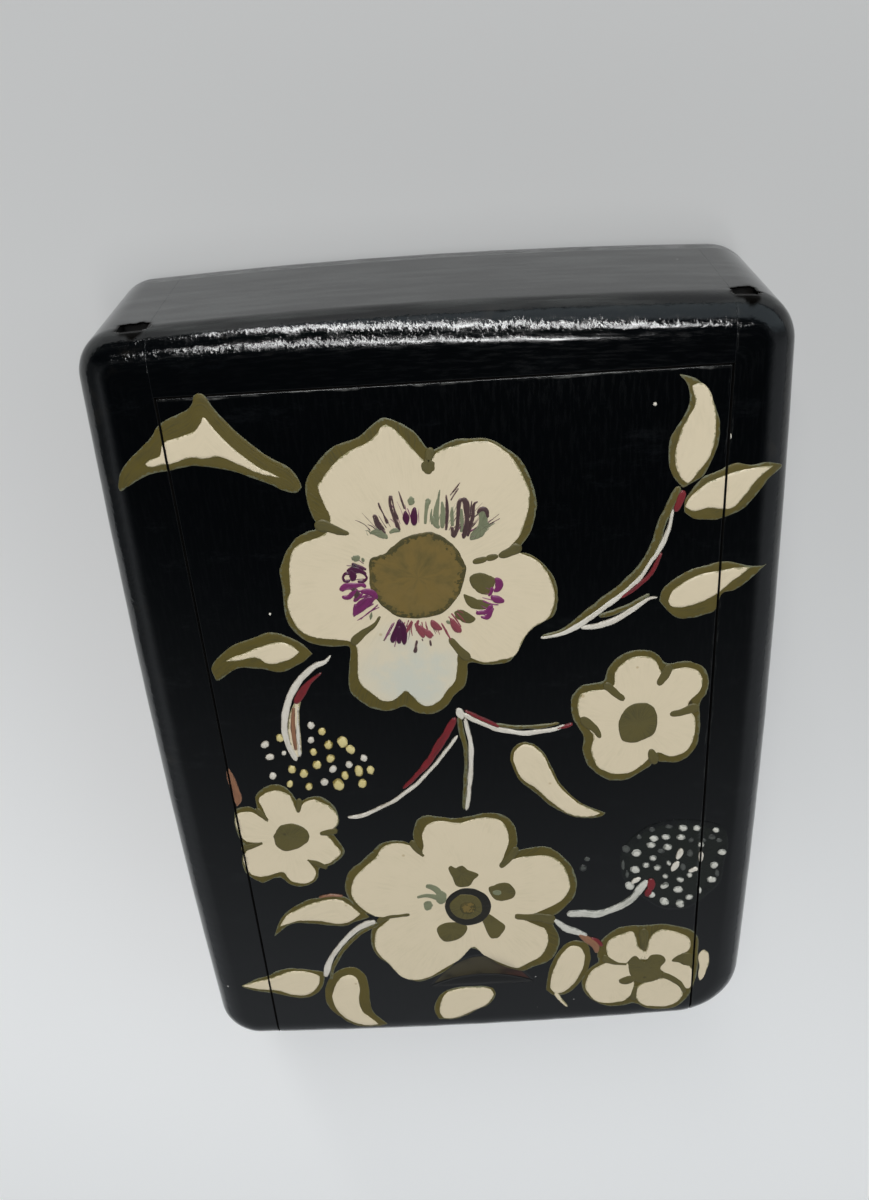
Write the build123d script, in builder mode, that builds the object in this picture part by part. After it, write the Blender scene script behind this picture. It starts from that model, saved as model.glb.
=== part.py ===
import os

from build123d import *

# Flat wooden box with a sliding lid, lacquered all over. It lies on its back. Lengths are in
# millimetres: X runs across the box, +Y towards the closed end, -Y towards the end where the
# lid leaves, and Z from the back panel up to the painted face. The origin is the middle of
# the footprint, on the surface that the box lies on.

# ---- outside of the closed box ----
box_width = 85.0            # over the bowed long sides
box_length = 119.6          # over the bowed ends
box_depth = 29.0            # back panel to painted face
side_bow = 1.0              # rise of each long side at its middle
end_bow = 1.2               # rise of each end at its middle
closed_left_corner = 5.2    # corner radii, seen from the painted face
closed_right_corner = 6.1
exit_left_corner = 6.5
exit_right_corner = 10.4    # the most worn corner
face_rounding = 4.2         # worn edge round the painted face
back_rounding = 3.8         # worn edge round the back

# ---- boards, measured in from the straight line between two corners ----
left_board = 8.8
right_board = 7.4
closed_board = 6.8
exit_board = 7.0
back_board = 4.0

# ---- grooves for the lid, ploughed right through both long boards ----
lip_thickness = 3.0         # wood left over the groove, on the face side
groove_height = 3.8
left_groove_depth = 3.6
right_groove_depth = 3.2

# ---- sliding lid ----
lid_side_gap = 0.3          # field to lip, the crack that shows on the face
lid_end_gap = 0.25          # field to closed board
tongue_face_gap = 0.2       # tongue to each cheek of its groove
tongue_edge_gap = 0.4       # tongue to the bottom of its groove

# ---- finger notch, a shallow gouge with its steep wall towards the exit end ----
notch_width = 16.0
notch_length = 6.0
notch_depth = 1.6
notch_from_exit = 11.2      # steep wall to the line between the exit corners
notch_off_centre = 0.8

# ---- paste that stops the grooves at the closed end, fallen in a little ----
left_filler_sink = 1.6
right_filler_sink = 1.9

# ---- hidden pins that hold the glued boards ----
pin_diameter = 1.2
pin_head_diameter = 2.0
pin_head_length = 0.8
pin_length = 14.0           # head and shank
pin_bore_gap = 0.04         # room round a pin, on the radius
corner_pin_depth = 3.2      # top of the head below the line between two corners
corner_pin_pitch = 8.5      # between the two pins of a corner
corner_pin_inset = 2.2      # from the inner face of the end board
back_pin_depth = 1.0        # top of the head above the back
back_pin_pitch = 36.0       # along each long board
back_pin_spread = 24.0      # across each end board

# ---- places that follow from the sizes ----
half_width = box_width / 2 - side_bow        # line between two corners
half_length = box_length / 2 - end_bow
left_face = -half_width + left_board         # inner faces of the four boards
right_face = half_width - right_board
closed_face = half_length - closed_board
exit_face = -half_length + exit_board
groove_top = box_depth - lip_thickness
groove_floor = groove_top - groove_height
lid_bottom = groove_floor + tongue_face_gap
tongue_top = groove_top - tongue_face_gap
lid_end = closed_face - lid_end_gap
left_groove = left_face - left_groove_depth  # bottoms of the two grooves
right_groove = right_face + right_groove_depth
wall_middle = (back_board + groove_floor) / 2
corner_pin_heights = (wall_middle - corner_pin_pitch / 2, wall_middle + corner_pin_pitch / 2)


# The closed box as one solid: a rectangle with bowed sides and rounded corners, with
# worn edges on both faces. Every board is cut from it.
with BuildPart() as closed_box:
    with BuildSketch() as footprint:
        with BuildLine():
            corners = [(-half_width, half_length), (half_width, half_length),
                       (half_width, -half_length), (-half_width, -half_length)]
            bows = [end_bow, side_bow, end_bow, side_bow]
            for number, bow in enumerate(bows):
                SagittaArc(corners[number], corners[(number + 1) % 4], bow)
        make_face()
        radii = [closed_left_corner, closed_right_corner, exit_right_corner, exit_left_corner]
        for corner, radius in zip(corners, radii):
            fillet(footprint.vertices().sort_by_distance(corner)[0], radius)
    extrude(amount=box_depth)
    fillet(closed_box.faces().sort_by(Axis.Z)[-1].edges(), face_rounding)
    fillet(closed_box.faces().sort_by(Axis.Z)[0].edges(), back_rounding)


def block(low, high, mode=Mode.ADD):
    """A box between two opposite corners."""
    middle = (Vector(low) + Vector(high)) / 2
    size = Vector(high) - Vector(low)
    with Locations(middle):
        Box(*size, mode=mode)


def headed_pins(places, gap=0.0, mode=Mode.ADD):
    """Pins driven along each place's own Z, with the head's top at its origin."""
    low_middle = (Align.CENTER, Align.CENTER, Align.MIN)
    with Locations(*places):
        Cylinder(pin_head_diameter / 2 + gap, pin_head_length, align=low_middle, mode=mode)
        Cylinder(pin_diameter / 2 + gap, pin_length, align=low_middle, mode=mode)


# Two pins at each corner go through the long board into the end board.
corner_pin_places = [
    Plane(origin=(side * (half_width - corner_pin_depth), along, height), z_dir=(-side, 0, 0))
    for side in (-1, 1)
    for along in (exit_face - corner_pin_inset, closed_face + corner_pin_inset)
    for height in corner_pin_heights
]

# The back panel is pinned to all four boards.
board_middles = [(left_face - half_width) / 2, (right_face + half_width) / 2]
end_middles = [(exit_face - half_length) / 2, (closed_face + half_length) / 2]
back_pin_spots = [(across, along) for across in board_middles
                  for along in (-back_pin_pitch, 0, back_pin_pitch)]
back_pin_spots += [(across, along) for along in end_middles
                   for across in (-back_pin_spread / 2, back_pin_spread / 2)]
back_pin_places = [Plane(origin=(across, along, back_pin_depth), z_dir=(0, 0, 1))
                   for across, along in back_pin_spots]


# ---- case ----
with BuildPart() as back_panel:
    block((-box_width, -box_length, 0), (box_width, box_length, back_board))
    add(closed_box.part, mode=Mode.INTERSECT)
    headed_pins(back_pin_places, pin_bore_gap, Mode.SUBTRACT)
back_panel.part.label = "back_panel"

with BuildPart() as left_side:
    block((-box_width, -box_length, back_board), (left_face, box_length, box_depth))
    add(closed_box.part, mode=Mode.INTERSECT)
    block((left_groove, -box_length, groove_floor), (left_face, box_length, groove_top), Mode.SUBTRACT)
    headed_pins(corner_pin_places + back_pin_places, pin_bore_gap, Mode.SUBTRACT)
left_side.part.label = "left_side"

with BuildPart() as right_side:
    block((right_face, -box_length, back_board), (box_width, box_length, box_depth))
    add(closed_box.part, mode=Mode.INTERSECT)
    block((right_face, -box_length, groove_floor), (right_groove, box_length, groove_top), Mode.SUBTRACT)
    headed_pins(corner_pin_places + back_pin_places, pin_bore_gap, Mode.SUBTRACT)
right_side.part.label = "right_side"

# The closed end is as high as the long boards, and the lid stops against it.
with BuildPart() as closed_end:
    block((left_face, closed_face, back_board), (right_face, box_length, box_depth))
    add(closed_box.part, mode=Mode.INTERSECT)
    headed_pins(corner_pin_places + back_pin_places, pin_bore_gap, Mode.SUBTRACT)
closed_end.part.label = "closed_end"

# The exit end stops level with the groove floors, and the lid slides out over it.
with BuildPart() as exit_end:
    block((left_face, -box_length, back_board), (right_face, exit_face, groove_floor))
    add(closed_box.part, mode=Mode.INTERSECT)
    headed_pins(corner_pin_places + back_pin_places, pin_bore_gap, Mode.SUBTRACT)
exit_end.part.label = "exit_end"

with BuildPart() as groove_filler_left:
    block((left_groove, closed_face, groove_floor),
          (left_face, half_length - left_filler_sink, groove_top))
groove_filler_left.part.label = "groove_filler_left"

with BuildPart() as groove_filler_right:
    block((right_face, closed_face, groove_floor),
          (right_groove, half_length - right_filler_sink, groove_top))
groove_filler_right.part.label = "groove_filler_right"

with BuildPart() as corner_pins:
    headed_pins(corner_pin_places)
corner_pins.part.label = "corner_pins"

with BuildPart() as back_pins:
    headed_pins(back_pin_places)
back_pins.part.label = "back_pins"

# ---- lid ----
# A raised field lies flush between the lips, and thinner tongues at its sides run in the
# grooves. A round gouge, whose flat end is the steep wall, cuts the finger notch.
gouge_radius = ((notch_width / 2) ** 2 + notch_depth ** 2) / (2 * notch_depth)
gouge_run = Vector(0, notch_length, notch_depth).normalized()
gouge_rise = Vector(0, -gouge_run.Z, gouge_run.Y)
notch_foot = Vector(notch_off_centre, notch_from_exit - half_length, box_depth - notch_depth)
gouge_axis = Plane(origin=notch_foot + gouge_rise * gouge_radius, z_dir=gouge_run)

with BuildPart() as sliding_lid:
    block((left_face + lid_side_gap, -box_length, lid_bottom),
          (right_face - lid_side_gap, lid_end, box_depth))
    block((left_groove + tongue_edge_gap, -box_length, lid_bottom),
          (right_groove - tongue_edge_gap, lid_end, tongue_top))
    add(closed_box.part, mode=Mode.INTERSECT)
    with Locations(gouge_axis):
        Cylinder(gouge_radius, 2 * notch_length, align=(Align.CENTER, Align.CENTER, Align.MIN),
                 mode=Mode.SUBTRACT)
sliding_lid.part.label = "sliding_lid"

os.makedirs("parts", exist_ok=True)
for piece in (back_panel, left_side, right_side, closed_end, exit_end, groove_filler_left,
              groove_filler_right, corner_pins, back_pins, sliding_lid):
    export_step(piece.part, f"parts/{piece.part.label}.step")
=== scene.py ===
import bmesh
import bpy
import numpy as np
from mathutils import Matrix, Quaternion, Vector


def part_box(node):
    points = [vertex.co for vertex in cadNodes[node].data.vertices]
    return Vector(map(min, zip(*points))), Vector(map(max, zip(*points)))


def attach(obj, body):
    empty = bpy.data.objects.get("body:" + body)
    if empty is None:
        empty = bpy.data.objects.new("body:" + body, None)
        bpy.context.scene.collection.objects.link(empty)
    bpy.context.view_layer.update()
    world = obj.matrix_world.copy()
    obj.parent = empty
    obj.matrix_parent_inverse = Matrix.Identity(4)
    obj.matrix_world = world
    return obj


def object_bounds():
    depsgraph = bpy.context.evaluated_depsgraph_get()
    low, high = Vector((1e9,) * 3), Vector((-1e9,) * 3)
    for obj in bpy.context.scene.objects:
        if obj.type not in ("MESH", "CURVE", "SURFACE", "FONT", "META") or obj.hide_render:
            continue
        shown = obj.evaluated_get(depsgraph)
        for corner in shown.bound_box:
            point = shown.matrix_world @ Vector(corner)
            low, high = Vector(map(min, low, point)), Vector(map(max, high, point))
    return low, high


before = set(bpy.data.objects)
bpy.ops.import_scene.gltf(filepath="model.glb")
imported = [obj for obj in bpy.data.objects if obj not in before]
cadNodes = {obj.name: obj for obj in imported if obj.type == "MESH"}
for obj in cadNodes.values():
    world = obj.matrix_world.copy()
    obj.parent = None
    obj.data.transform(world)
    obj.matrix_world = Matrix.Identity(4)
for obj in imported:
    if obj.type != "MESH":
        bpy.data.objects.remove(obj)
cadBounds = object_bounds()
mm = 0.001                        # shapes are worked out in millimetres, meshes are in metres


# ---- what the frame says, in millimetres ----

def nodeBox(node):
    low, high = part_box(node)
    return np.array(low) / mm, np.array(high) / mm


leftFace = nodeBox("left_side")[1][0]        # inner faces of the boards
rightFace = nodeBox("right_side")[0][0]
closedFace = nodeBox("closed_end")[0][1]
exitFace = nodeBox("exit_end")[1][1]
caseFloor = nodeBox("back_panel")[1][2]
lidUnder = nodeBox("sliding_lid")[0][2]
lidEnd = nodeBox("sliding_lid")[1][1]
paintedFace = nodeBox("left_side")[1][2]
closedReach = nodeBox("closed_end")[1][1]
boxReach = np.array(cadBounds[1]) / mm

# The shape of the painted face, as the frame's box is made, under a coat of lacquer.
coatThickness = 0.05
faceShape = {
    "sideBow": 1.0, "endBow": 1.2,            # rise of the bowed sides at their middles
    "closedLeft": 5.2, "closedRight": 6.1, "exitLeft": 6.5, "exitRight": 10.4,   # corners
    "rounding": 4.2,                          # worn edge round the face
    "lidSideGap": 0.3,                        # crack between the lid and the long boards
    "notchFoot": (0.8, -47.4, 27.4),          # lowest point of the notch's steep wall
    "notchRun": (6.0, 1.6), "notchWidth": 16.0, "notchDepth": 1.6,
}
halfWidth = boxReach[0] - faceShape["sideBow"]
halfLength = boxReach[1] - faceShape["endBow"]
coatReach = boxReach + coatThickness
coatTop = paintedFace + coatThickness
coatRounding = faceShape["rounding"] + coatThickness
lidLeft = leftFace + faceShape["lidSideGap"]
lidRight = rightFace - faceShape["lidSideGap"]


def bowRadius(halfChord, bow):
    return (halfChord ** 2 + bow ** 2) / (2 * bow)


# Middles of the bows of the side and the end, in |x| and |y|.
sideRadius = bowRadius(halfLength, faceShape["sideBow"])
endRadius = bowRadius(halfWidth, faceShape["endBow"])
sideCentre = np.array([boxReach[0] - sideRadius, 0.0])
endCentre = np.array([0.0, boxReach[1] - endRadius])
corners = {"closedLeft": (-1, 1), "closedRight": (1, 1), "exitLeft": (-1, -1), "exitRight": (1, -1)}


def cornerCentre(corner):
    # The corner's circle touches both bows from inside, so its middle stands sideRadius - corner
    # from one bow's middle and endRadius - corner from the other's.
    span = np.hypot(*(endCentre - sideCentre))
    unit = (endCentre - sideCentre) / span
    along = ((sideRadius - corner) ** 2 - (endRadius - corner) ** 2 + span ** 2) / (2 * span)
    aside = np.sqrt((sideRadius - corner) ** 2 - along ** 2)
    return sideCentre + unit * along + np.array([-unit[1], unit[0]]) * aside


def outlineInset(x, y):
    # Distance in from the lacquered outline: to the nearer bow, or to a corner's circle where a
    # point lies in the wedge that the circle closes.
    acrossX, acrossY = np.abs(x), np.abs(y)
    inset = np.minimum(sideRadius - np.hypot(acrossX - sideCentre[0], acrossY),
                       endRadius - np.hypot(acrossX, acrossY - endCentre[1]))
    for name, (wayX, wayY) in corners.items():
        centre = cornerCentre(faceShape[name])
        gapX, gapY = acrossX - centre[0], acrossY - centre[1]
        sideWay, endWay = centre - sideCentre, centre - endCentre
        wedge = (sideWay[0] * gapY > sideWay[1] * gapX) & (gapX * endWay[1] > gapY * endWay[0])
        wedge &= (x * wayX > 0) & (y * wayY > 0)
        inset = np.where(wedge, faceShape[name] - np.hypot(gapX, gapY), inset)
    return inset + coatThickness


def faceHeight(x, y):
    # Flat, then a quarter circle down over the last millimetres to the outline. The notch is a
    # cylinder lying along its run, stopped by a steep wall square to the run at its foot.
    inset = np.clip(outlineInset(x, y), 0, coatRounding)
    height = coatTop - coatRounding + np.sqrt(coatRounding ** 2 - (coatRounding - inset) ** 2)
    depth, half = faceShape["notchDepth"], faceShape["notchWidth"] / 2
    radius = (half ** 2 + depth ** 2) / (2 * depth)
    runY, runZ = np.array(faceShape["notchRun"]) / np.hypot(*faceShape["notchRun"])
    footX, footY, footZ = faceShape["notchFoot"]
    rise = radius - np.sqrt(np.maximum(radius ** 2 - (x - footX) ** 2, 0))
    along = (y - footY + rise * runZ) / runY
    gouge = footZ + coatThickness + along * runZ + rise * runY
    wall = footZ + coatThickness + (footY - y) * runY / runZ
    return np.where(np.abs(x - footX) < half, np.minimum(height, np.maximum(gouge, wall)), height)


# ---- camera, where the photograph was taken from ----

photoView = {
    "eye": (2.32, 97.59, 156.64),             # millimetres
    "aim": (-0.18, 22.59, 29.0),              # point on the painted face in the picture's middle
    "roll": 178.35,                           # degrees; the closed end is the picture's top
    "focal": 1163.7, "middle": (450.0, 600.1),   # pixels
    "width": 869, "height": 1200,             # pixels
    "sensor": 36.0,
}
eye, aim = Vector(photoView["eye"]), Vector(photoView["aim"])
cameraTurn = (aim - eye).to_track_quat("-Z", "Y") @ Quaternion((0, 0, 1), np.radians(photoView["roll"]))
cameraData = bpy.data.cameras.new("photoCamera")
cameraData.sensor_width = photoView["sensor"]
cameraData.lens = photoView["focal"] * photoView["sensor"] / photoView["height"]
cameraData.shift_x = (photoView["width"] / 2 - photoView["middle"][0]) / photoView["height"]
cameraData.shift_y = (photoView["middle"][1] - photoView["height"] / 2) / photoView["height"]
cameraData.clip_start, cameraData.clip_end = 0.01, 20
camera = bpy.data.objects.new("photoCamera", cameraData)
camera.rotation_mode = "QUATERNION"
camera.rotation_quaternion = cameraTurn
camera.location = eye * mm
bpy.context.scene.collection.objects.link(camera)
bpy.context.scene.camera = camera
viewRight, viewUp, viewBack = np.array(cameraTurn.to_matrix()).T
print("camera set")


def toFace(pixels):
    # A photograph point's ray meets the painted face: down the ray to the flat face's height,
    # then a few half steps that take up the drop of the rounded edge or the notch.
    pixels = np.asarray(pixels, float)
    across = (pixels[..., :1] - photoView["middle"][0]) / photoView["focal"]
    down = (pixels[..., 1:2] - photoView["middle"][1]) / photoView["focal"]
    rays = across * viewRight - down * viewUp - viewBack
    height = np.full(pixels.shape[:-1], coatTop)
    for step in range(12):
        spots = np.array(eye) + rays * ((height - eye.z) / rays[..., 2])[..., None]
        height = (height + faceHeight(spots[..., 0], spots[..., 1])) / 2
    # a point past the outline comes back onto the rounded edge
    past = np.maximum(0.35 - outlineInset(spots[..., 0], spots[..., 1]), 0)[..., None]
    return spots[..., :2] - np.where(past > 0, outward(spots) * past, 0)


# ---- materials ----

def addNode(tree, kind, sockets=None, **settings):
    node = tree.nodes.new(kind)
    for name, value in settings.items():
        setattr(node, name, value)
    for name, value in (sockets or {}).items():
        if isinstance(value, bpy.types.NodeSocket):
            tree.links.new(value, node.inputs[name])
        else:
            node.inputs[name].default_value = value
    return node


def mathNode(tree, operation, first, second=0.0, clamp=False):
    return addNode(tree, "ShaderNodeMath", {0: first, 1: second}, operation=operation,
                   use_clamp=clamp).outputs[0]


def ramp(tree, value, low, high, toLow=0.0, toHigh=1.0):
    # smooth step from low to high
    sockets = {"Value": value, "From Min": low, "From Max": high, "To Min": toLow, "To Max": toHigh}
    return addNode(tree, "ShaderNodeMapRange", sockets, interpolation_type="SMOOTHSTEP").outputs[0]


def mixColours(tree, share, first, second, blend="MIX"):
    node = addNode(tree, "ShaderNodeMix", data_type="RGBA", blend_type=blend)
    for place, value in ((0, share), (6, first), (7, second)):
        if isinstance(value, bpy.types.NodeSocket):
            tree.links.new(value, node.inputs[place])
        else:
            node.inputs[place].default_value = value
    return node.outputs[2]


def noiseNode(tree, vector, scale, detail=2.0, roughness=0.5):
    sockets = {"Vector": vector, "Scale": scale, "Detail": detail, "Roughness": roughness}
    return addNode(tree, "ShaderNodeTexNoise", sockets).outputs["Fac"]


def scaled(tree, vector, scale):
    return addNode(tree, "ShaderNodeVectorMath", {0: vector, 1: scale}, operation="MULTIPLY").outputs[0]


def newGroup(name, inputs, outputs):
    # A node group with named sockets, and its input and output nodes.
    group = bpy.data.node_groups.new(name, "ShaderNodeTree")
    for socket, (kind, value) in inputs.items():
        made = group.interface.new_socket(socket, in_out="INPUT", socket_type="NodeSocket" + kind)
        if value is not None:
            made.default_value = value
    for socket, kind in outputs.items():
        group.interface.new_socket(socket, in_out="OUTPUT", socket_type="NodeSocket" + kind)
    return group, group.nodes.new("NodeGroupInput").outputs, group.nodes.new("NodeGroupOutput")


def useGroup(tree, group, sockets):
    return addNode(tree, "ShaderNodeGroup", sockets, node_tree=group).outputs


# Uneven lacquer: broad ripples and fine streaks drawn out along the brush (the map is in
# millimetres, U along the brush), and orange peel that has no direction.
lacquerSkin, given, result = newGroup(
    "lacquerSkin", {"Place": ("Vector", None), "Film": ("Vector", None), "Peel Scale": ("Float", 1900.0),
                    "Ripple Scale": ("Float", 0.45)},
    {"Peel": "Float", "Ripple": "Float", "Streak": "Float"})
drawn = scaled(lacquerSkin, given["Film"], (0.15, 1.0, 1.0))
streakScale = mathNode(lacquerSkin, "MULTIPLY", given["Ripple Scale"], 5.0)
lacquerSkin.links.new(noiseNode(lacquerSkin, given["Place"], given["Peel Scale"], 2.0), result.inputs["Peel"])
lacquerSkin.links.new(noiseNode(lacquerSkin, drawn, given["Ripple Scale"], 2.0), result.inputs["Ripple"])
streak = noiseNode(lacquerSkin, drawn, streakScale, 4.0, 0.62)
lacquerSkin.links.new(ramp(lacquerSkin, streak, 0.38, 0.66), result.inputs["Streak"])

# A rubbed line where a coordinate passes a place: thin, wavy, and fading in and out.
rubbedLine, given, result = newGroup(
    "rubbedLine", {"Vector": ("Vector", None), "Coordinate": ("Float", 0.0), "Place": ("Float", 0.0),
                   "Width": ("Float", 0.0002), "Wave": ("Float", 0.0011)}, {"Mask": "Float"})
sway = mathNode(rubbedLine, "SUBTRACT", noiseNode(rubbedLine, given["Vector"], 160.0, 4.0, 0.55), 0.5)
sway = mathNode(rubbedLine, "MULTIPLY", sway, given["Wave"])
away = mathNode(rubbedLine, "SUBTRACT", given["Coordinate"], given["Place"])
away = mathNode(rubbedLine, "ABSOLUTE", mathNode(rubbedLine, "ADD", away, sway))
line = ramp(rubbedLine, away, given["Width"], 0.0)
fade = ramp(rubbedLine, noiseNode(rubbedLine, given["Vector"], 260.0, 6.0, 0.7), 0.42, 0.64, 0.04, 1.0)
rubbedLine.links.new(mathNode(rubbedLine, "MULTIPLY", line, fade), result.inputs["Mask"])

# Dust and tiny chips: a few small specks of many sizes out of many cells.
dustSpecks, given, result = newGroup(
    "dustSpecks", {"Vector": ("Vector", None), "Scale": ("Float", 330.0), "Size": ("Float", 0.09),
                   "Share": ("Float", 0.1)}, {"Mask": "Float"})
cells = addNode(dustSpecks, "ShaderNodeTexVoronoi", {"Vector": given["Vector"], "Scale": given["Scale"]})
picked = addNode(dustSpecks, "ShaderNodeSeparateColor", {0: cells.outputs["Color"]}).outputs
chosen = mathNode(dustSpecks, "LESS_THAN", picked[0], given["Share"])
speckSize = mathNode(dustSpecks, "MULTIPLY", given["Size"], picked[1])
speck = ramp(dustSpecks, cells.outputs["Distance"], speckSize, mathNode(dustSpecks, "MULTIPLY", speckSize, 0.4))
dustSpecks.links.new(mathNode(dustSpecks, "MULTIPLY", chosen, speck), result.inputs["Mask"])

# Brush marks in paint, on the film's own map: U runs along the brush, V across it.
brushMarks, given, result = newGroup(
    "brushMarks", {"Vector": ("Vector", None), "Hairs": ("Float", 5.0), "Length": ("Float", 0.35)},
    {"Marks": "Float", "Cover": "Float"})
hairs = addNode(brushMarks, "ShaderNodeCombineXYZ", {0: given["Length"], 1: given["Hairs"]}).outputs[0]
hairs = addNode(brushMarks, "ShaderNodeVectorMath", {0: given["Vector"], 1: hairs},
                operation="MULTIPLY").outputs[0]
brushMarks.links.new(noiseNode(brushMarks, hairs, 1.0, 3.0, 0.6), result.inputs["Marks"])
brushMarks.links.new(noiseNode(brushMarks, hairs, 0.4, 2.0), result.inputs["Cover"])


def newMaterial(name):
    material = bpy.data.materials.new(name)
    material.use_nodes = True
    tree = material.node_tree
    return material, tree, tree.nodes["Principled BSDF"]


def feed(tree, shader, sockets):
    for name, value in sockets.items():
        if isinstance(value, bpy.types.NodeSocket):
            tree.links.new(value, shader.inputs[name])
        else:
            shader.inputs[name].default_value = value


lacquer = {
    "black": (0.0012, 0.0016, 0.0020, 1), "worn": (0.018, 0.015, 0.011, 1),
    # the pits' colour is painted shade: near black on the broken-out holes and their ragged rims
    "scuff": (0.34, 0.34, 0.32, 1), "dust": (0.35, 0.34, 0.32, 1), "pitShade": (0.003, 0.0025, 0.002, 1),
    # the streak colour of the closed end is painted sheen, a lighter grey laid across its face
    "smudge": (0.008, 0.009, 0.010, 1), "paintedSheen": (0.028, 0.030, 0.029, 1),
    "notchLeft": (0.052, 0.043, 0.022, 1), "notchRight": (0.055, 0.020, 0.015, 1),
    "smooth": 0.07, "rough": 0.15,            # roughness between and on the brush streaks
    "peel": 0.010, "edgePeel": 1.9, "ripple": 0.16,      # bump heights in hundredths of a millimetre
}


def makeLacquer(name, rubbed=()):
    # Near-black gloss on a coat's own map, U along the brush. The peel is strong on the worn
    # edge and faint on the flat faces. rubbed lines are axis, place, width and strength.
    material, tree, shader = newMaterial(name)
    place = addNode(tree, "ShaderNodeTexCoord").outputs["Object"]
    at = addNode(tree, "ShaderNodeSeparateXYZ", {0: place}).outputs
    film = addNode(tree, "ShaderNodeUVMap", uv_map="brush").outputs[0]
    edge, pitShade, notch = (addNode(tree, "ShaderNodeAttribute", attribute_name=kind).outputs["Fac"]
                        for kind in ("worn", "pitShade", "notch"))
    skin = useGroup(tree, lacquerSkin, {"Place": place, "Film": film})

    patchy = noiseNode(tree, place, 260.0, 4.0)
    worn = mathNode(tree, "MULTIPLY", edge, ramp(tree, patchy, 0.60, 0.75, 0.0, 0.45))
    colour = mixColours(tree, worn, lacquer["black"], lacquer["worn"])
    smudge = ramp(tree, noiseNode(tree, scaled(tree, place, (90, 240, 90)), 1.0, 7.0, 0.8), 0.54, 0.72, 0.0, 0.4)
    colour = mixColours(tree, smudge, colour, lacquer["smudge"])
    # the closed end's face takes lighter streaks across the box: painted sheen, standing in for the streaky reflection
    # on that face
    paintedSheen = ramp(tree, noiseNode(tree, scaled(tree, place, (75, 500, 700)), 1.0, 5.0, 0.58), 0.38, 0.68)
    facing = addNode(tree, "ShaderNodeSeparateXYZ", {0: addNode(tree, "ShaderNodeNewGeometry").outputs["Normal"]})
    paintedSheen = mathNode(tree, "MULTIPLY", paintedSheen, ramp(tree, facing.outputs[2], 0.80, 0.35))
    paintedSheen = mathNode(tree, "MULTIPLY", paintedSheen, ramp(tree, at[1], closedFace * mm, (closedFace + 3) * mm))
    colour = mixColours(tree, paintedSheen, colour, lacquer["paintedSheen"])
    bare = mathNode(tree, "MULTIPLY", ramp(tree, notch, 0.35, 0.9), ramp(tree, patchy, 0.35, 0.6, 0.35, 1.0))
    smeared = mixColours(tree, ramp(tree, at[0], 0.002, 0.007), lacquer["notchLeft"], lacquer["notchRight"])
    colour = mixColours(tree, bare, colour, smeared)
    scuffs = 0.0
    for axis, line, width, strength in rubbed:
        mask = useGroup(tree, rubbedLine, {"Vector": place, "Coordinate": at[axis],
                                           "Place": line * mm, "Width": width * mm})["Mask"]
        scuffs = mathNode(tree, "MAXIMUM", scuffs, mathNode(tree, "MULTIPLY", mask, strength))
    colour = mixColours(tree, scuffs, colour, lacquer["scuff"])
    specks = useGroup(tree, dustSpecks, {"Vector": place})["Mask"]
    colour = mixColours(tree, specks, colour, lacquer["dust"])
    # painted shade: the pits and their ragged rims go near black, and metallic over a black base so that they reflect
    # almost nothing
    colour = mixColours(tree, pitShade, colour, lacquer["pitShade"])

    rough = ramp(tree, skin["Streak"], 0.0, 1.0, lacquer["smooth"], lacquer["rough"])
    for mask, most in ((edge, 0.08), (ramp(tree, notch, 0.0, 0.3), 0.75), (scuffs, 0.6), (pitShade, 0.28)):
        rough = mathNode(tree, "MAXIMUM", rough, mathNode(tree, "MULTIPLY", mask, most))
    peel = mathNode(tree, "MULTIPLY", skin["Peel"],
                    ramp(tree, edge, 0.0, 0.75, lacquer["peel"], lacquer["edgePeel"]))
    peel = mathNode(tree, "MULTIPLY", peel, ramp(tree, noiseNode(tree, place, 700.0, 4.0, 0.6), 0.38, 0.62, 0.4, 1.5))
    height = mathNode(tree, "ADD", peel, mathNode(tree, "MULTIPLY", skin["Ripple"], lacquer["ripple"]))
    height = mathNode(tree, "ADD", height, scuffs)
    height = mathNode(tree, "ADD", height, mathNode(tree, "MULTIPLY", mathNode(tree, "MULTIPLY", patchy, notch), 1.5))
    bump = addNode(tree, "ShaderNodeBump", {"Height": height, "Strength": 1.0, "Distance": 0.01 * mm})
    feed(tree, shader, {"Base Color": colour, "Roughness": rough, "Metallic": pitShade, "Normal": bump.outputs[0],
                        "IOR": 1.5})
    return material


def makeStain():
    # inside and between the boards: thin black stain over open grain
    material, tree, shader = newMaterial("stainedWood")
    place = addNode(tree, "ShaderNodeTexCoord").outputs["Object"]
    grain = noiseNode(tree, scaled(tree, place, (900, 60, 900)), 1.0, 4.0, 0.6)
    colour = mixColours(tree, ramp(tree, grain, 0.45, 0.7), (0.004, 0.0035, 0.003, 1), (0.014, 0.011, 0.008, 1))
    bump = addNode(tree, "ShaderNodeBump", {"Height": grain, "Strength": 1.0, "Distance": 0.06 * mm})
    feed(tree, shader, {"Base Color": colour, "Roughness": ramp(tree, grain, 0.3, 0.7, 0.5, 0.7),
                        "Normal": bump.outputs[0]})
    return material


def makeBack():
    # the back panel's lacquer, brushed along the box
    material, tree, shader = newMaterial("backLacquer")
    place = addNode(tree, "ShaderNodeTexCoord").outputs["Object"]
    film = scaled(tree, place, (1000, 1000, 1000))
    skin = useGroup(tree, lacquerSkin, {"Place": place, "Film": film})
    bump = addNode(tree, "ShaderNodeBump", {"Height": skin["Ripple"], "Strength": 1.0, "Distance": 0.002 * mm})
    specks = useGroup(tree, dustSpecks, {"Vector": place})["Mask"]
    feed(tree, shader, {"Base Color": mixColours(tree, specks, lacquer["black"], lacquer["dust"]),
                        "Roughness": ramp(tree, skin["Streak"], 0.0, 1.0, lacquer["smooth"], lacquer["rough"]),
                        "Normal": bump.outputs[0], "IOR": 1.5})
    return material


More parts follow.
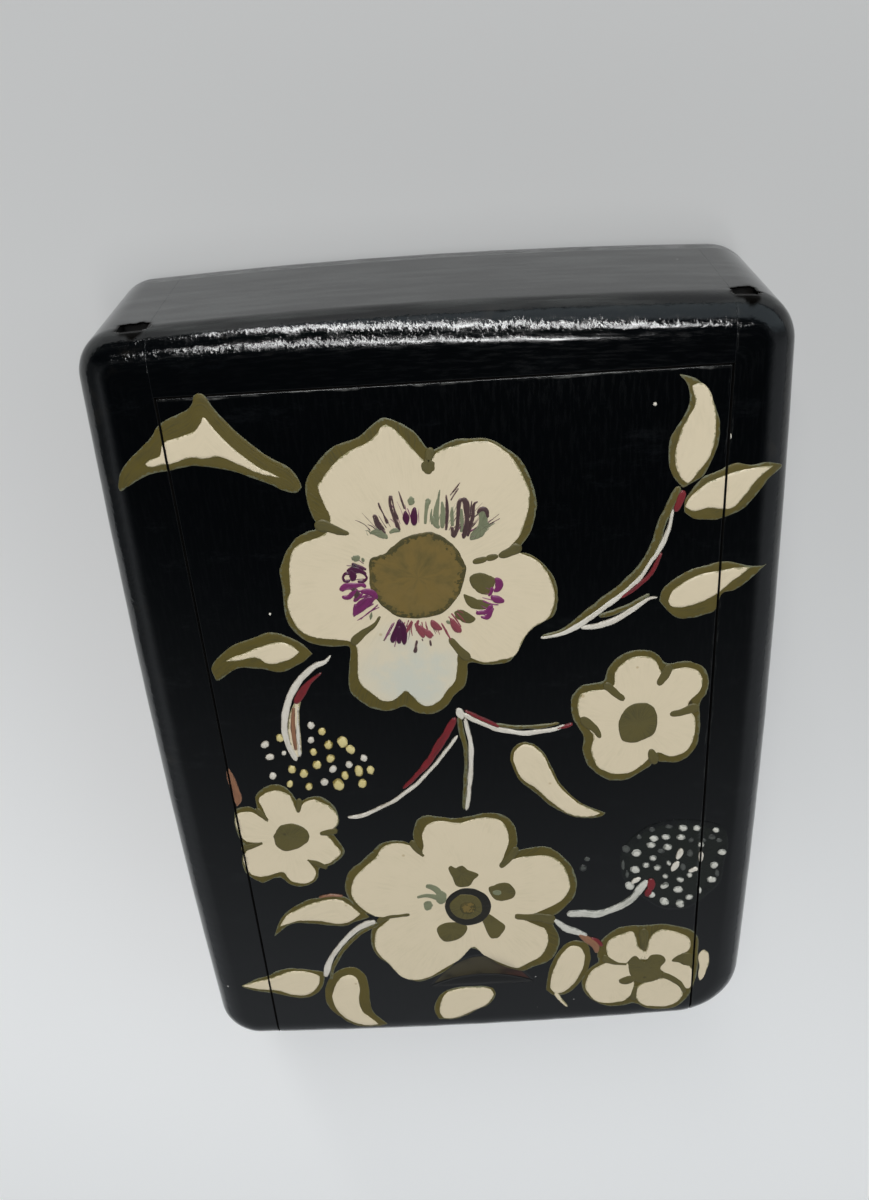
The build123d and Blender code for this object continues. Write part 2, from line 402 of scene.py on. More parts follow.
def makePaste():
    # dull filler, crumbly and near black
    material, tree, shader = newMaterial("groovePaste")
    place = addNode(tree, "ShaderNodeTexCoord").outputs["Object"]
    crumbs = noiseNode(tree, place, 1500.0, 6.0, 0.7)
    colour = mixColours(tree, ramp(tree, crumbs, 0.4, 0.75), (0.006, 0.005, 0.004, 1), (0.035, 0.028, 0.02, 1))
    bump = addNode(tree, "ShaderNodeBump", {"Height": crumbs, "Strength": 1.0, "Distance": 0.0003})
    feed(tree, shader, {"Base Color": colour, "Roughness": 0.8, "Normal": bump.outputs[0]})
    return material


def makeSteel():
    # drawn wire, with fine rings round it and a brown bloom
    material, tree, shader = newMaterial("pinSteel")
    place = addNode(tree, "ShaderNodeTexCoord").outputs["Object"]
    bloom = noiseNode(tree, place, 700.0, 4.0)
    colour = mixColours(tree, ramp(tree, bloom, 0.5, 0.7), (0.45, 0.44, 0.42, 1), (0.16, 0.11, 0.08, 1))
    rings = noiseNode(tree, scaled(tree, place, (3000, 3000, 300)), 1.0)
    bump = addNode(tree, "ShaderNodeBump", {"Height": rings, "Strength": 0.5, "Distance": 0.00002})
    feed(tree, shader, {"Base Color": colour, "Roughness": ramp(tree, bloom, 0.4, 0.7, 0.3, 0.6),
                        "Metallic": 1.0, "Normal": bump.outputs[0]})
    return material


paste, steel, stain = makePaste(), makeSteel(), makeStain()
finishes = {"groove_filler_left": paste, "groove_filler_right": paste, "corner_pins": steel,
            "back_pins": steel, "back_panel": makeBack()}
for nodeName, node in cadNodes.items():
    node.data.materials.clear()
    node.data.materials.append(finishes.get(nodeName, stain))
print("lacquer, paste and steel on the frame")


# ---- lacquer coats ----
# Each coat is a grid of columns side by side round the outline. A column's rows climb the side,
# turn over the worn edge and cross the face to a joint.

coatShape = {
    "jointHalf": 0.003,                       # half the gap between two boards' coats
    "jointRoll": 0.045,                       # rounding beside the lid, less than the coat's thickness
    "seamRoll": 0.004,                        # and beside a glued joint
    "depth": 0.15,                            # how far the coat's rim goes down into the wood
    "wander": 0.035,                          # unevenness of the sanded edge
}
pits = {
    # broken out where the paste fell in, at the closed end: middle x and z, half width and height
    "left": (-34.45, 25.15, 2.0, 1.65), "right": (35.7, 25.3, 1.6, 1.8),
}


def wallSpots(origins, ways, insets):
    # where rays from inside meet the outline, moved in by each inset, by halving
    near = np.zeros((len(origins), len(insets)))
    far = np.full(near.shape, coatReach[0])
    for step in range(40):
        middle = (near + far) / 2
        spots = origins[:, None] + ways[:, None] * middle[..., None]
        inside = outlineInset(spots[..., 0], spots[..., 1]) > insets
        near, far = np.where(inside, middle, near), np.where(inside, far, middle)
    return spots


def outward(spots):
    # the way that outlineInset falls fastest
    x, y = spots[..., 0], spots[..., 1]
    step = 0.01
    slope = np.stack([outlineInset(x - step, y) - outlineInset(x + step, y),
                      outlineInset(x, y - step) - outlineInset(x, y + step)], axis=-1)
    return slope / np.linalg.norm(slope, axis=-1, keepdims=True)


def raised(spots, heights):
    return np.concatenate([spots, np.broadcast_to(heights, spots.shape[:-1])[..., None]], axis=-1)


def towardJoint(low, high, spacing, joints=(True, True)):
    # even steps, with a few close ones beside each joint
    close = np.array([0.0, 0.03, 0.07, 0.13, 0.25, 0.5])
    start = low + close if joints[0] else np.array([low])
    finish = high - close[::-1] if joints[1] else np.array([high])
    count = max(int((finish[0] - start[-1]) / spacing), 2)
    return np.concatenate([start, np.linspace(start[-1], finish[0], count + 1)[1:-1], finish])


def layCoat(name, body, material, origins, ways, sideRows, inner, weights, joints):
    # Side rows stand at the given heights. The worn edge is a quarter turn: at turn t it is
    # rounding * (1 - cos t) in and rounding * sin t up. The face is ruled from there to the
    # inner border by the weights.
    turn = np.linspace(0, np.pi / 2, 25)
    spots = wallSpots(origins, ways, coatRounding * (1 - np.cos(turn)))
    out = outward(spots)
    wallRows = np.zeros(len(sideRows), int)
    rows = [raised(spots[:, wallRows], sideRows), raised(spots, coatTop - coatRounding * (1 - np.sin(turn)))]
    normals = [raised(out[:, wallRows], 0.0), raised(out * np.cos(turn)[:, None], np.sin(turn))]
    worn = [np.zeros(rows[0].shape[:2]), np.broadcast_to(np.sin(2 * turn), rows[1].shape[:2])]
    gouged = [np.zeros(rows[0].shape[:2]), np.zeros(rows[1].shape[:2])]
    if inner is None:
        rows, normals, worn, gouged = rows[:1], normals[:1], worn[:1], gouged[:1]
    else:
        flat = spots[:, -1:] * (1 - weights[:, None]) + inner[:, None] * weights[:, None]
        x, y, step = flat[..., 0], flat[..., 1], 0.02
        lean = np.stack([faceHeight(x - step, y) - faceHeight(x + step, y),
                         faceHeight(x, y - step) - faceHeight(x, y + step), np.full(x.shape, 2 * step)], axis=-1)
        rows.append(raised(flat, faceHeight(x, y)))
        normals.append(lean / np.linalg.norm(lean, axis=-1, keepdims=True))
        worn.append(np.zeros(x.shape))
        past = y - faceShape["notchFoot"][1]
        steep = (past > -0.65) & (past < 0.05) & (np.abs(x - faceShape["notchFoot"][0]) < 8.1)
        bed = np.clip((coatTop - faceHeight(x, y)) / 0.2, 0, 1) * np.clip((past + 0.05) / 0.25, 0, 1)
        gouged.append(np.maximum(bed, 0.3 * steep))
    points, normals, worn, gouged = (np.concatenate(part, axis=1) for part in (rows, normals, worn, gouged))

    # distance along the grid to the borders that are joints
    across = np.linalg.norm(np.diff(points, axis=0), axis=-1).cumsum(axis=0)
    across = np.concatenate([np.zeros((1, points.shape[1])), across])
    along = np.linalg.norm(np.diff(points, axis=1), axis=-1).cumsum(axis=1)
    along = np.concatenate([np.zeros((points.shape[0], 1)), along], axis=1)
    drop = np.zeros(points.shape[:2])
    for border, away in (("first", across), ("last", across[-1:] - across), ("bottom", along),
                         ("top", along[:, -1:] - along)):
        if border in joints:
            roll = joints[border]
            drop = np.maximum(drop, roll * (1 - np.sqrt(1 - (1 - np.clip(away / roll, 0, 1)) ** 2)))

    # ragged pits, where the coat is broken out and leans in, and the unevenness of the worn edge
    share = np.full(points.shape[:2], 9.0)
    for pitX, pitZ, halfX, halfZ in pits.values():
        angle = np.arctan2(points[..., 2] - pitZ, points[..., 0] - pitX)
        ragged = 1 + 0.11 * np.sin(3 * angle + pitX) + 0.08 * np.sin(5 * angle + 1) + 0.05 * np.sin(9 * angle)
        here = np.hypot((points[..., 0] - pitX) / halfX, (points[..., 2] - pitZ) / halfZ) / ragged
        share = np.minimum(share, np.where(points[..., 1] > closedFace, here, 9))
    lip = points[..., 2] > paintedFace - 3.02                  # wood behind the coat
    drop = drop + coatShape["jointRoll"] * np.clip((1.4 - share) / 0.4, 0, 1) ** 2 * ~lip
    sway = (np.sin(points[..., 0] * 0.61 + 1.0) + np.sin(points[..., 0] * 1.37 + points[..., 1] * 0.43)
            + np.sin(points[..., 1] * 0.71 + 2.0) + np.sin(points[..., 1] * 0.29 - points[..., 0] * 0.83)) / 4
    points = points + normals * (coatShape["wander"] * sway * worn - drop)[..., None]

    columns, rowCount = points.shape[:2]
    index = np.arange(columns * rowCount).reshape(columns, rowCount)
    quads = np.stack([index[:-1, :-1], index[1:, :-1], index[1:, 1:], index[:-1, 1:]], axis=-1).reshape(-1, 4)
    quads = quads[(share.ravel()[quads].mean(axis=1) > 1) | (lip.ravel()[quads].mean(axis=1) > 0.5)]
    flatPoints = points.reshape(-1, 3)
    facing = np.cross(flatPoints[quads[:, 1]] - flatPoints[quads[:, 0]],
                      flatPoints[quads[:, 3]] - flatPoints[quads[:, 0]])
    if (facing * normals.reshape(-1, 3)[quads[:, 0]]).sum() < 0:
        quads = quads[:, ::-1]
    used, quads = np.unique(quads, return_inverse=True)
    quads = quads.reshape(-1, 4)
    brush = np.stack([across, along] if body == "case" else [along, across], axis=-1).reshape(-1, 2)[used]
    mesh = bpy.data.meshes.new(name)
    mesh.from_pydata((flatPoints[used] * mm).tolist(), [], quads.tolist())
    mesh.uv_layers.new(name="brush").uv.foreach_set("vector", brush[quads.ravel()].ravel())
    # this mask carries painted shade: near black on the kept lip and the ragged rim round each hole
    for kind, values in (("worn", worn), ("notch", gouged), ("pitShade", np.clip((1.25 - share) / 0.2, 0, 1))):
        mesh.attributes.new(kind, "FLOAT", "POINT").data.foreach_set("value", values.ravel()[used])
    mesh.polygons.foreach_set("use_smooth", np.ones(len(quads), bool))
    mesh.materials.append(material)
    coat = bpy.data.objects.new(name, mesh)
    bpy.context.scene.collection.objects.link(coat)
    shell = coat.modifiers.new("coatDepth", "SOLIDIFY")
    shell.thickness = coatShape["depth"] * mm
    shell.offset = -1
    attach(coat, body)


def sideHeights(low, pitted):
    # rows up the side, close together at the height of the pits
    high = coatTop - coatRounding
    if not pitted:
        return np.linspace(low, high, 14)[:-1]
    return np.concatenate([np.linspace(low, 22.4, 11)[:-1], np.linspace(22.4, high, 15)[:-1]])


def endCoat(name, body, material, low, high, way, sideRows, innerY, joints, weights, fine=None):
    x = towardJoint(low, high, 0.5)
    if fine:
        x = np.concatenate([x[x < fine[0] - 0.2], np.linspace(*fine), x[x > fine[1] + 0.2]])
    origins = np.column_stack([x, np.full(len(x), 40.0 * way)])
    ways = np.column_stack([0 * x, np.full(len(x), float(way))])
    inner = None if innerY is None else np.column_stack([x, np.full(len(x), innerY)])
    layCoat(name, body, material, origins, ways, sideRows, inner, weights, joints)


def sideCoat(name, material, face, closedCorner, exitCorner):
    # From the closed end's joint round the corner, along the board, and round to the exit end.
    # Rays leave a line a corner's radius in from the walls, and fan out at the corners.
    way = np.sign(face)
    closedAt = np.array([way * (halfWidth - closedCorner), halfLength - closedCorner])
    start = face + way * coatShape["jointHalf"]
    exitAt = np.array([way * max(halfWidth - exitCorner, abs(start) + 0.7), exitCorner - halfLength])
    closedX = start + way * (towardJoint(0, max(abs(closedAt[0]) - abs(start), 0.7), 0.16, (True, False)))
    exitX = start + way * towardJoint(0, max(abs(exitAt[0]) - abs(start), 0.7), 0.5, (True, False))
    fan = np.linspace(0, np.pi / 2, 26)[1:-1]
    alongY = np.linspace(closedAt[1], exitAt[1], 90)
    alongX = np.linspace(closedAt[0], exitAt[0], 90)
    origins = np.concatenate([
        np.column_stack([closedX, np.full(len(closedX), closedAt[1])]), np.tile(closedAt, (len(fan), 1)),
        np.column_stack([alongX, alongY]), np.tile(exitAt, (len(fan), 1)),
        np.column_stack([exitX[::-1], np.full(len(exitX), exitAt[1])])])
    ways = np.concatenate([
        np.tile((0.0, 1.0), (len(closedX), 1)), np.column_stack([way * np.sin(fan), np.cos(fan)]),
        np.tile((way, 0.0), (90, 1)), np.column_stack([way * np.cos(fan), -np.sin(fan)]),
        np.tile((0.0, -1.0), (len(exitX), 1))])
    edge = wallSpots(origins, ways, np.array([coatRounding]))[:, 0]
    run = np.concatenate([[0], np.linalg.norm(np.diff(edge, axis=0), axis=1).cumsum()])
    inner = np.column_stack([np.full(len(run), start), edge[0, 1] + (edge[-1, 1] - edge[0, 1]) * run / run[-1]])
    layCoat(name, "case", material, origins, ways, sideHeights(caseFloor + 0.02, True), inner,
            jointWeights, {"first": seam, "last": seam, "top": lidJoint})


jointWeights = np.concatenate([np.linspace(0, 0.9, 8)[1:], [0.95, 0.975, 0.985, 0.993, 1.0]])
gap, seam, lidJoint = (coatShape[kind] for kind in ("jointHalf", "seamRoll", "jointRoll"))
lidMaterial = makeLacquer("lacquerLid", ((1, lidEnd - 0.10, 0.22, 0.34), (0, lidRight - 0.12, 0.12, 0.06)))
boardMaterial = makeLacquer("lacquerBoards", ((0, rightFace + 0.15, 0.12, 0.05),))
endMaterial = makeLacquer("lacquerEnds")
sideCoat("left_coat", boardMaterial, leftFace, faceShape["closedLeft"], faceShape["exitLeft"])
sideCoat("right_coat", boardMaterial, rightFace, faceShape["closedRight"], faceShape["exitRight"])
endCoat("closed_coat", "case", endMaterial, leftFace + gap, rightFace - gap, 1, sideHeights(caseFloor + 0.02, True),
        closedFace + gap, {"first": seam, "last": seam, "top": lidJoint}, jointWeights)
endCoat("exit_coat", "case", endMaterial, leftFace + gap, rightFace - gap, -1,
        np.linspace(caseFloor + 0.02, lidUnder - 0.25, 12), None, {"first": seam, "last": seam}, None)
# the lid's rows crowd at the finger notch
notchY = faceShape["notchFoot"][1]
faceRows = np.concatenate([np.linspace(-55.3, notchY - 1.2, 10), np.linspace(notchY - 1.2, notchY + 0.6, 24)[1:],
                           np.linspace(notchY + 0.6, notchY + 7.2, 30)[1:], np.linspace(notchY + 7.2, 51.0, 60)[1:],
                           lidEnd - np.array([0.35, 0.2, 0.13, 0.07, 0.03, 0.0])])
faceStart = -(coatReach[1] - coatRounding)
lidWeights = np.clip((faceRows - faceStart) / (lidEnd - faceStart), 0.002, 1)
endCoat("lid_coat", "lid", lidMaterial, lidLeft, lidRight, -1, np.linspace(lidUnder + 0.1, coatTop - coatRounding, 6)[:-1],
        lidEnd, {border: lidJoint for border in ("first", "last", "top", "bottom")}, lidWeights, (-8.0, 9.6, 89))
print("lacquer coats laid")


paints = {
    # body and shade colours, colour at the thin rim and how far the rim frays in (millimetres),
    # brush hairs per millimetre, roughness, metal
    "cream": {"body": (0.68, 0.585, 0.415), "shade": (0.625, 0.54, 0.375), "rim": (0.25, 0.225, 0.11),
              "fray": 0.30, "hairs": 1.8, "roughness": 0.36, "metal": 0.0, "relief": 0.5},
    "olive": {"body": (0.098, 0.075, 0.011), "shade": (0.056, 0.047, 0.010), "rim": (0.135, 0.138, 0.082),
              "fray": 0.42, "hairs": 4.0, "roughness": 0.45, "metal": 0.1},
    "oliveDab": {"body": (0.100, 0.082, 0.022), "shade": (0.058, 0.052, 0.017), "rim": (0.072, 0.064, 0.022),
                 "fray": 0.16, "hairs": 4.0, "roughness": 0.45, "metal": 0.05},
    "bronze": {"body": (0.185, 0.125, 0.032), "shade": (0.100, 0.078, 0.018), "rim": (0.060, 0.052, 0.014),
               "fray": 1.3, "hairs": 0.3, "roughness": 0.45, "metal": 0.15, "relief": 0.5},
    "white": {"body": (0.64, 0.605, 0.53), "shade": (0.45, 0.40, 0.32), "rim": (0.26, 0.23, 0.18),
              "fray": 0.16, "hairs": 5.0, "roughness": 0.4, "metal": 0.0},
    "ash": {"body": (0.58, 0.57, 0.51), "shade": (0.27, 0.27, 0.23), "rim": (0.095, 0.10, 0.085),
            "fray": 0.30, "hairs": 5.0, "roughness": 0.34, "metal": 0.0},
    "gold": {"body": (0.62, 0.53, 0.25), "shade": (0.46, 0.36, 0.11), "rim": (0.20, 0.15, 0.03),
             "fray": 0.20, "hairs": 3.0, "roughness": 0.38, "metal": 0.0},
    "darkRed": {"body": (0.175, 0.013, 0.018), "shade": (0.07, 0.010, 0.011), "rim": (0.05, 0.014, 0.012),
                "fray": 0.16, "hairs": 4.0, "roughness": 0.35, "metal": 0.0},
    "purple": {"body": (0.060, 0.006, 0.036), "shade": (0.026, 0.005, 0.018), "rim": (0.20, 0.09, 0.13),
               "fray": 0.10, "hairs": 6.0, "roughness": 0.35, "metal": 0.0},
    "magenta": {"body": (0.165, 0.020, 0.105), "shade": (0.080, 0.010, 0.052), "rim": (0.30, 0.14, 0.20),
                "fray": 0.12, "hairs": 6.0, "roughness": 0.35, "metal": 0.0},
    "crimson": {"body": (0.235, 0.052, 0.066), "shade": (0.12, 0.022, 0.034), "rim": (0.40, 0.22, 0.21),
                "fray": 0.14, "hairs": 7.0, "roughness": 0.35, "metal": 0.0},
    "mauve": {"body": (0.070, 0.036, 0.036), "shade": (0.035, 0.019, 0.019), "rim": (0.30, 0.22, 0.18),
              "fray": 0.16, "hairs": 6.0, "roughness": 0.38, "metal": 0.0},
    "greyGreen": {"body": (0.19, 0.205, 0.12), "shade": (0.085, 0.095, 0.052), "rim": (0.34, 0.32, 0.22),
                  "fray": 0.18, "hairs": 6.0, "roughness": 0.4, "metal": 0.0},
    "umber": {"body": (0.009, 0.008, 0.005), "shade": (0.020, 0.017, 0.009), "rim": (0.04, 0.036, 0.018),
              "fray": 0.15, "hairs": 4.0, "roughness": 0.35, "metal": 0.0},
    "wash": {"body": (0.0065, 0.0085, 0.006), "shade": (0.003, 0.004, 0.003), "rim": (0.0014, 0.0018, 0.0022),
             "fray": 2.2, "hairs": 0.8, "roughness": 0.22, "metal": 0.0, "relief": 0.4},
    "faint": {"body": (0.075, 0.080, 0.072), "shade": (0.030, 0.033, 0.030), "rim": (0.012, 0.013, 0.012),
              "fray": 0.35, "hairs": 3.0, "roughness": 0.4, "metal": 0.0},
    "rust": {"body": (0.25, 0.118, 0.062), "shade": (0.14, 0.06, 0.032), "rim": (0.06, 0.03, 0.02),
             "fray": 0.16, "hairs": 4.0, "roughness": 0.4, "metal": 0.0},
}


def makePaint(name, paint, wash=None):
    # Brush hairs shade the colour and raise the film; the thin rim lets the coat below through.
    # wash is a patch of another colour: its middle on the face, its radius and its colour.
    material, tree, shader = newMaterial(name)
    place = addNode(tree, "ShaderNodeTexCoord").outputs["Object"]
    film = addNode(tree, "ShaderNodeUVMap", uv_map="brush").outputs[0]
    rimAway = addNode(tree, "ShaderNodeAttribute", attribute_name="rimInset").outputs["Fac"]
    brush = useGroup(tree, brushMarks, {"Vector": film, "Hairs": paint["hairs"]})
    mottle = noiseNode(tree, place, 260.0, 4.0, 0.6)
    shadeShare = mathNode(tree, "MULTIPLY", ramp(tree, brush["Marks"], 0.35, 0.75),
                          ramp(tree, mottle, 0.35, 0.65))
    colour = mixColours(tree, shadeShare, (*paint["body"], 1), (*paint["shade"], 1))
    if wash:
        middle, radius, tint = wash
        away = addNode(tree, "ShaderNodeVectorMath", {0: place, 1: (middle[0] * mm, middle[1] * mm,
                       coatTop * mm)}, operation="DISTANCE").outputs["Value"]
        away = mathNode(tree, "ADD", away, mathNode(tree, "MULTIPLY", mottle, 0.006))
        share = mathNode(tree, "MULTIPLY", ramp(tree, away, radius * mm + 0.003, radius * mm * 0.45 + 0.003),
                         ramp(tree, noiseNode(tree, place, 130.0, 5.0, 0.62), 0.36, 0.60, 0.30, 1.0))
        colour = mixColours(tree, share, colour, (*tint, 1))
    frayed = mathNode(tree, "MULTIPLY", ramp(tree, noiseNode(tree, place, 1500.0, 5.0, 0.7), 0.30, 0.70),
                      paint["fray"])
    rim = ramp(tree, mathNode(tree, "SUBTRACT", rimAway, frayed), 0.05, -0.06)
    rim = mathNode(tree, "MULTIPLY", rim, ramp(tree, mottle, 0.35, 0.6, 0.45, 1.0))
    colour = mixColours(tree, rim, colour, (*paint["rim"], 1))
    specks = useGroup(tree, dustSpecks, {"Vector": place, "Scale": 420.0, "Size": 0.22, "Share": 0.09})
    colour = mixColours(tree, mathNode(tree, "MULTIPLY", specks["Mask"], 0.6), colour, (*paint["shade"], 1),
                        "MULTIPLY")
    height = mathNode(tree, "ADD", brush["Marks"], mathNode(tree, "MULTIPLY", mottle, 0.6))
    bump = addNode(tree, "ShaderNodeBump", {"Height": height, "Strength": 1.0,
                                            "Distance": 0.00003 * paint.get("relief", 1.0)})
    rough = ramp(tree, brush["Marks"], 0.3, 0.7, paint["roughness"] - 0.06, paint["roughness"] + 0.08)
    feed(tree, shader, {"Base Color": colour, "Roughness": rough, "Metallic": paint["metal"],
                        "Normal": bump.outputs[0]})
    return material


bottomPetalWash = (toFace((410, 668)), 9.0, (0.56, 0.56, 0.475))
paintMaterials = {name: makePaint(name + "Paint", paint) for name, paint in paints.items()}
paintMaterials["washedCream"] = makePaint("washedCreamPaint", paints["cream"], bottomPetalWash)
print("paints mixed")


# ---- paint films ----
# A film is a closed thin shell on the painted face: points, quads, its brush map and each
# point's distance from the film's rim.

filmShape = {"edge": 0.22, "sunk": 0.015, "bottom": 0.05}    # millimetres
coats = {"ground": 0.05, "body": 0.12, "stroke": 0.18, "wash": 0.03, "cream": 0.12, "white": 0.18, "olive": 0.15,
         "bronze": 0.19, "ash": 0.18, "greyGreen": 0.17, "mauve": 0.20, "crimson": 0.22, "magenta": 0.22, "purple": 0.24,
         "dab": 0.22, "darkRed": 0.20, "rust": 0.22}


def throughPoints(points, closed=False, perSpan=7):
    # Each span is a cubic that passes through its ends and leans as their neighbours lie
    # (Catmull-Rom).
    p = np.asarray(points, float)
    if closed:
        p = np.vstack([p[-1:], p, p[:2]])
    else:
        p = np.vstack([2 * p[0] - p[1], p, 2 * p[-1] - p[-2]])
    t = np.linspace(0, 1, perSpan, endpoint=False)[None, :, None]
    before, first, second, after = p[:-3, None], p[1:-2, None], p[2:-1, None], p[3:, None]
    curve = 0.5 * (2 * first + (second - before) * t
                   + (2 * before - 5 * first + 4 * second - after) * t ** 2
                   + (3 * first - before - 3 * second + after) * t ** 3)
    curve = curve.reshape(-1, p.shape[1])
    return curve if closed else np.vstack([curve, p[-2:-1]])


def evenly(curve, count):
    # the same curve, with points at equal steps along it
    run = np.concatenate([[0], np.cumsum(np.linalg.norm(np.diff(curve[:, :2], axis=0), axis=1))])
    steps = np.linspace(0, run[-1], count)
    return np.stack([np.interp(steps, run, column) for column in curve.T], axis=1)


def handShake(count, seed, amount, closed=False):
    # small smooth unevenness along an edge: random knots every few points, eased between, and
    # half as much again on knots close together
    draw = np.random.default_rng(seed)
    total = np.zeros(count)
    for every, share in ((5, 1.0), (2, 0.5)):
        knots = draw.normal(0, amount * share, max(count // every, 2) + 1)
        if closed:
            knots[-1] = knots[0]
        total += np.interp(np.linspace(0, len(knots) - 1, count), np.arange(len(knots)), knots)
    return total


def filmHeight(x, y, inset, coat):
    # the face, plus a quarter-round rise from the rim: coat * sqrt(1 - (1 - inset / edge)^2)
    share = np.clip(inset / filmShape["edge"], 0, 1)
    return faceHeight(x, y) + coat * np.sqrt(1 - (1 - share) ** 2) - filmShape["sunk"]


def shellQuads(rows, columns):
    # quads of a grid whose columns join round
    row, column = np.meshgrid(np.arange(rows - 1), np.arange(columns), indexing="ij")
    nextColumn = (column + 1) % columns
    return np.stack([row * columns + column, row * columns + nextColumn,
                     (row + 1) * columns + nextColumn, (row + 1) * columns + column], axis=-1).reshape(-1, 4)


def petalFilm(rimPixels, heartPixel, coat, seed=0, grow=0.0):
    # Polar: heart + (rim - heart) * (1 - inset / reach). Insets are close together at the rim
    # and even towards the heart; one more ring closes the underside. grow moves the rim out.
    rim = throughPoints(toFace(rimPixels), closed=True)
    heart = toFace(heartPixel)
    arm = rim - heart
    reach = np.linalg.norm(arm, axis=1) + grow
    turn = np.unwrap(np.arctan2(arm[:, 1], arm[:, 0]))
    way = np.sign(turn[-1] - turn[0])
    turn = way * np.maximum.accumulate(way * turn)          # never back over itself
    arm = reach[:, None] * np.stack([np.cos(turn), np.sin(turn)], axis=1)
    arm = arm * (1 + handShake(len(rim), seed, 0.045, closed=True) / reach)[:, None]
    near = np.array([0.0, 0.03, 0.08, 0.15, 0.25, 0.45]) * min(1, reach.min() / 0.9)
    inner = np.linspace(0, 1, 14)[1:, None]
    inset = np.vstack([near[:, None] + 0 * reach, near[-1] + (reach - near[-1]) * inner])
    spots = heart + arm * (1 - inset / reach)[..., None]
    x, y = spots[..., 0], spots[..., 1]
    top = np.stack([x, y, filmHeight(x, y, inset, coat)], axis=-1)
    under = np.broadcast_to([*heart, faceHeight(*heart) - filmShape["bottom"]], (1, len(rim), 3))
    points = np.vstack([under, top])
    run = np.concatenate([[0], np.cumsum(np.linalg.norm(np.diff(rim, axis=0), axis=1))])
    brush = np.stack([np.vstack([inset[:1], inset]), np.broadcast_to(run, points.shape[:2])], axis=-1)
    inset = np.vstack([inset[:1], inset])
    return points.reshape(-1, 3), shellQuads(*points.shape[:2]), brush.reshape(-1, 2), inset.ravel()


def ribbonFilm(leftPixels, rightPixels, coat, seed=0):
    # Ruled between two edges: left * (1 - w) + right * w, with w eased towards both edges; one
    # more column closes the underside.
    count = int(np.clip(np.linalg.norm(np.diff(leftPixels, axis=0), axis=1).sum() / 2.2, 10, 160))
    left, right = (evenly(np.asarray(edge, float), count) for edge in (leftPixels, rightPixels))
    shake = handShake(count, seed, 0.32)[:, None]
    gap = np.linalg.norm(right - left, axis=1, keepdims=True)
    side = (right - left) / np.maximum(gap, 1e-6) * np.minimum(gap / 4, 1)
    left, right = toFace(left - side * shake), toFace(right + side * shake[::-1])
    weight = (0.5 - 0.5 * np.cos(np.linspace(0, np.pi, 11)))[None, :]
    spots = left[:, None] * (1 - weight[..., None]) + right[:, None] * weight[..., None]
    width = np.linalg.norm(right - left, axis=1, keepdims=True)
    inset = np.minimum(weight, 1 - weight) * width
    x, y = spots[..., 0], spots[..., 1]
    top = np.stack([x, y, filmHeight(x, y, inset, coat)], axis=-1)
    middle = (left + right) / 2
    depth = faceHeight(middle[:, 0], middle[:, 1]) - filmShape["sunk"]
    depth -= filmShape["bottom"] * np.clip(width[:, 0] / filmShape["edge"], 0, 1)
    under = np.column_stack([middle, depth])[:, None]
    points = np.concatenate([top, under], axis=1)
    run = np.concatenate([[0], np.cumsum(np.linalg.norm(np.diff(middle, axis=0), axis=1))])
    across = np.concatenate([weight * width, width / 2], axis=1)
    brush = np.stack([np.broadcast_to(run[:, None], across.shape), across], axis=-1)
    inset = np.concatenate([inset, width / 2], axis=1)
    return points.reshape(-1, 3), shellQuads(*points.shape[:2]), brush.reshape(-1, 2), inset.ravel()


def leafFilm(outline, farTip, coat, seed=0):
    # outline starts at one tip; farTip is the place of the other tip in it
    nearSide = throughPoints(outline[:farTip + 1])
    farSide = throughPoints([outline[0]] + outline[:farTip - 1:-1])
    return ribbonFilm(nearSide, farSide, coat, seed)


def strokeFilm(path, coat, seed=0):
    # path points are (x, y, width) in pixels; the ends are rounded over half the width
    line = throughPoints(path, perSpan=9)
    run = np.concatenate([[0], np.cumsum(np.linalg.norm(np.diff(line[:, :2], axis=0), axis=1))])
    way = np.gradient(line[:, :2], axis=0)
    way /= np.linalg.norm(way, axis=1, keepdims=True)
    side = np.stack([-way[:, 1], way[:, 0]], axis=1)
    fromEnd = np.minimum(run, run[-1] - run) / np.maximum(line[:, 2] * 0.7, 0.5)
    half = line[:, 2:3] / 2 * np.sqrt(1 - (1 - np.clip(fromEnd, 0, 1)[:, None]) ** 2)
    return ribbonFilm(line[:, :2] - side * half, line[:, :2] + side * half, coat, seed)


def oval(x, y, halfX, halfY, turn=0):
    # points round a dab of the brush, in pixels; turn is in degrees
    around = np.linspace(0, 2 * np.pi, 10, endpoint=False)
    across, down = halfX * np.cos(around), halfY * np.sin(around)
    lean = np.radians(turn)
    return np.column_stack([x + across * np.cos(lean) - down * np.sin(lean),
                            y + across * np.sin(lean) + down * np.cos(lean)])


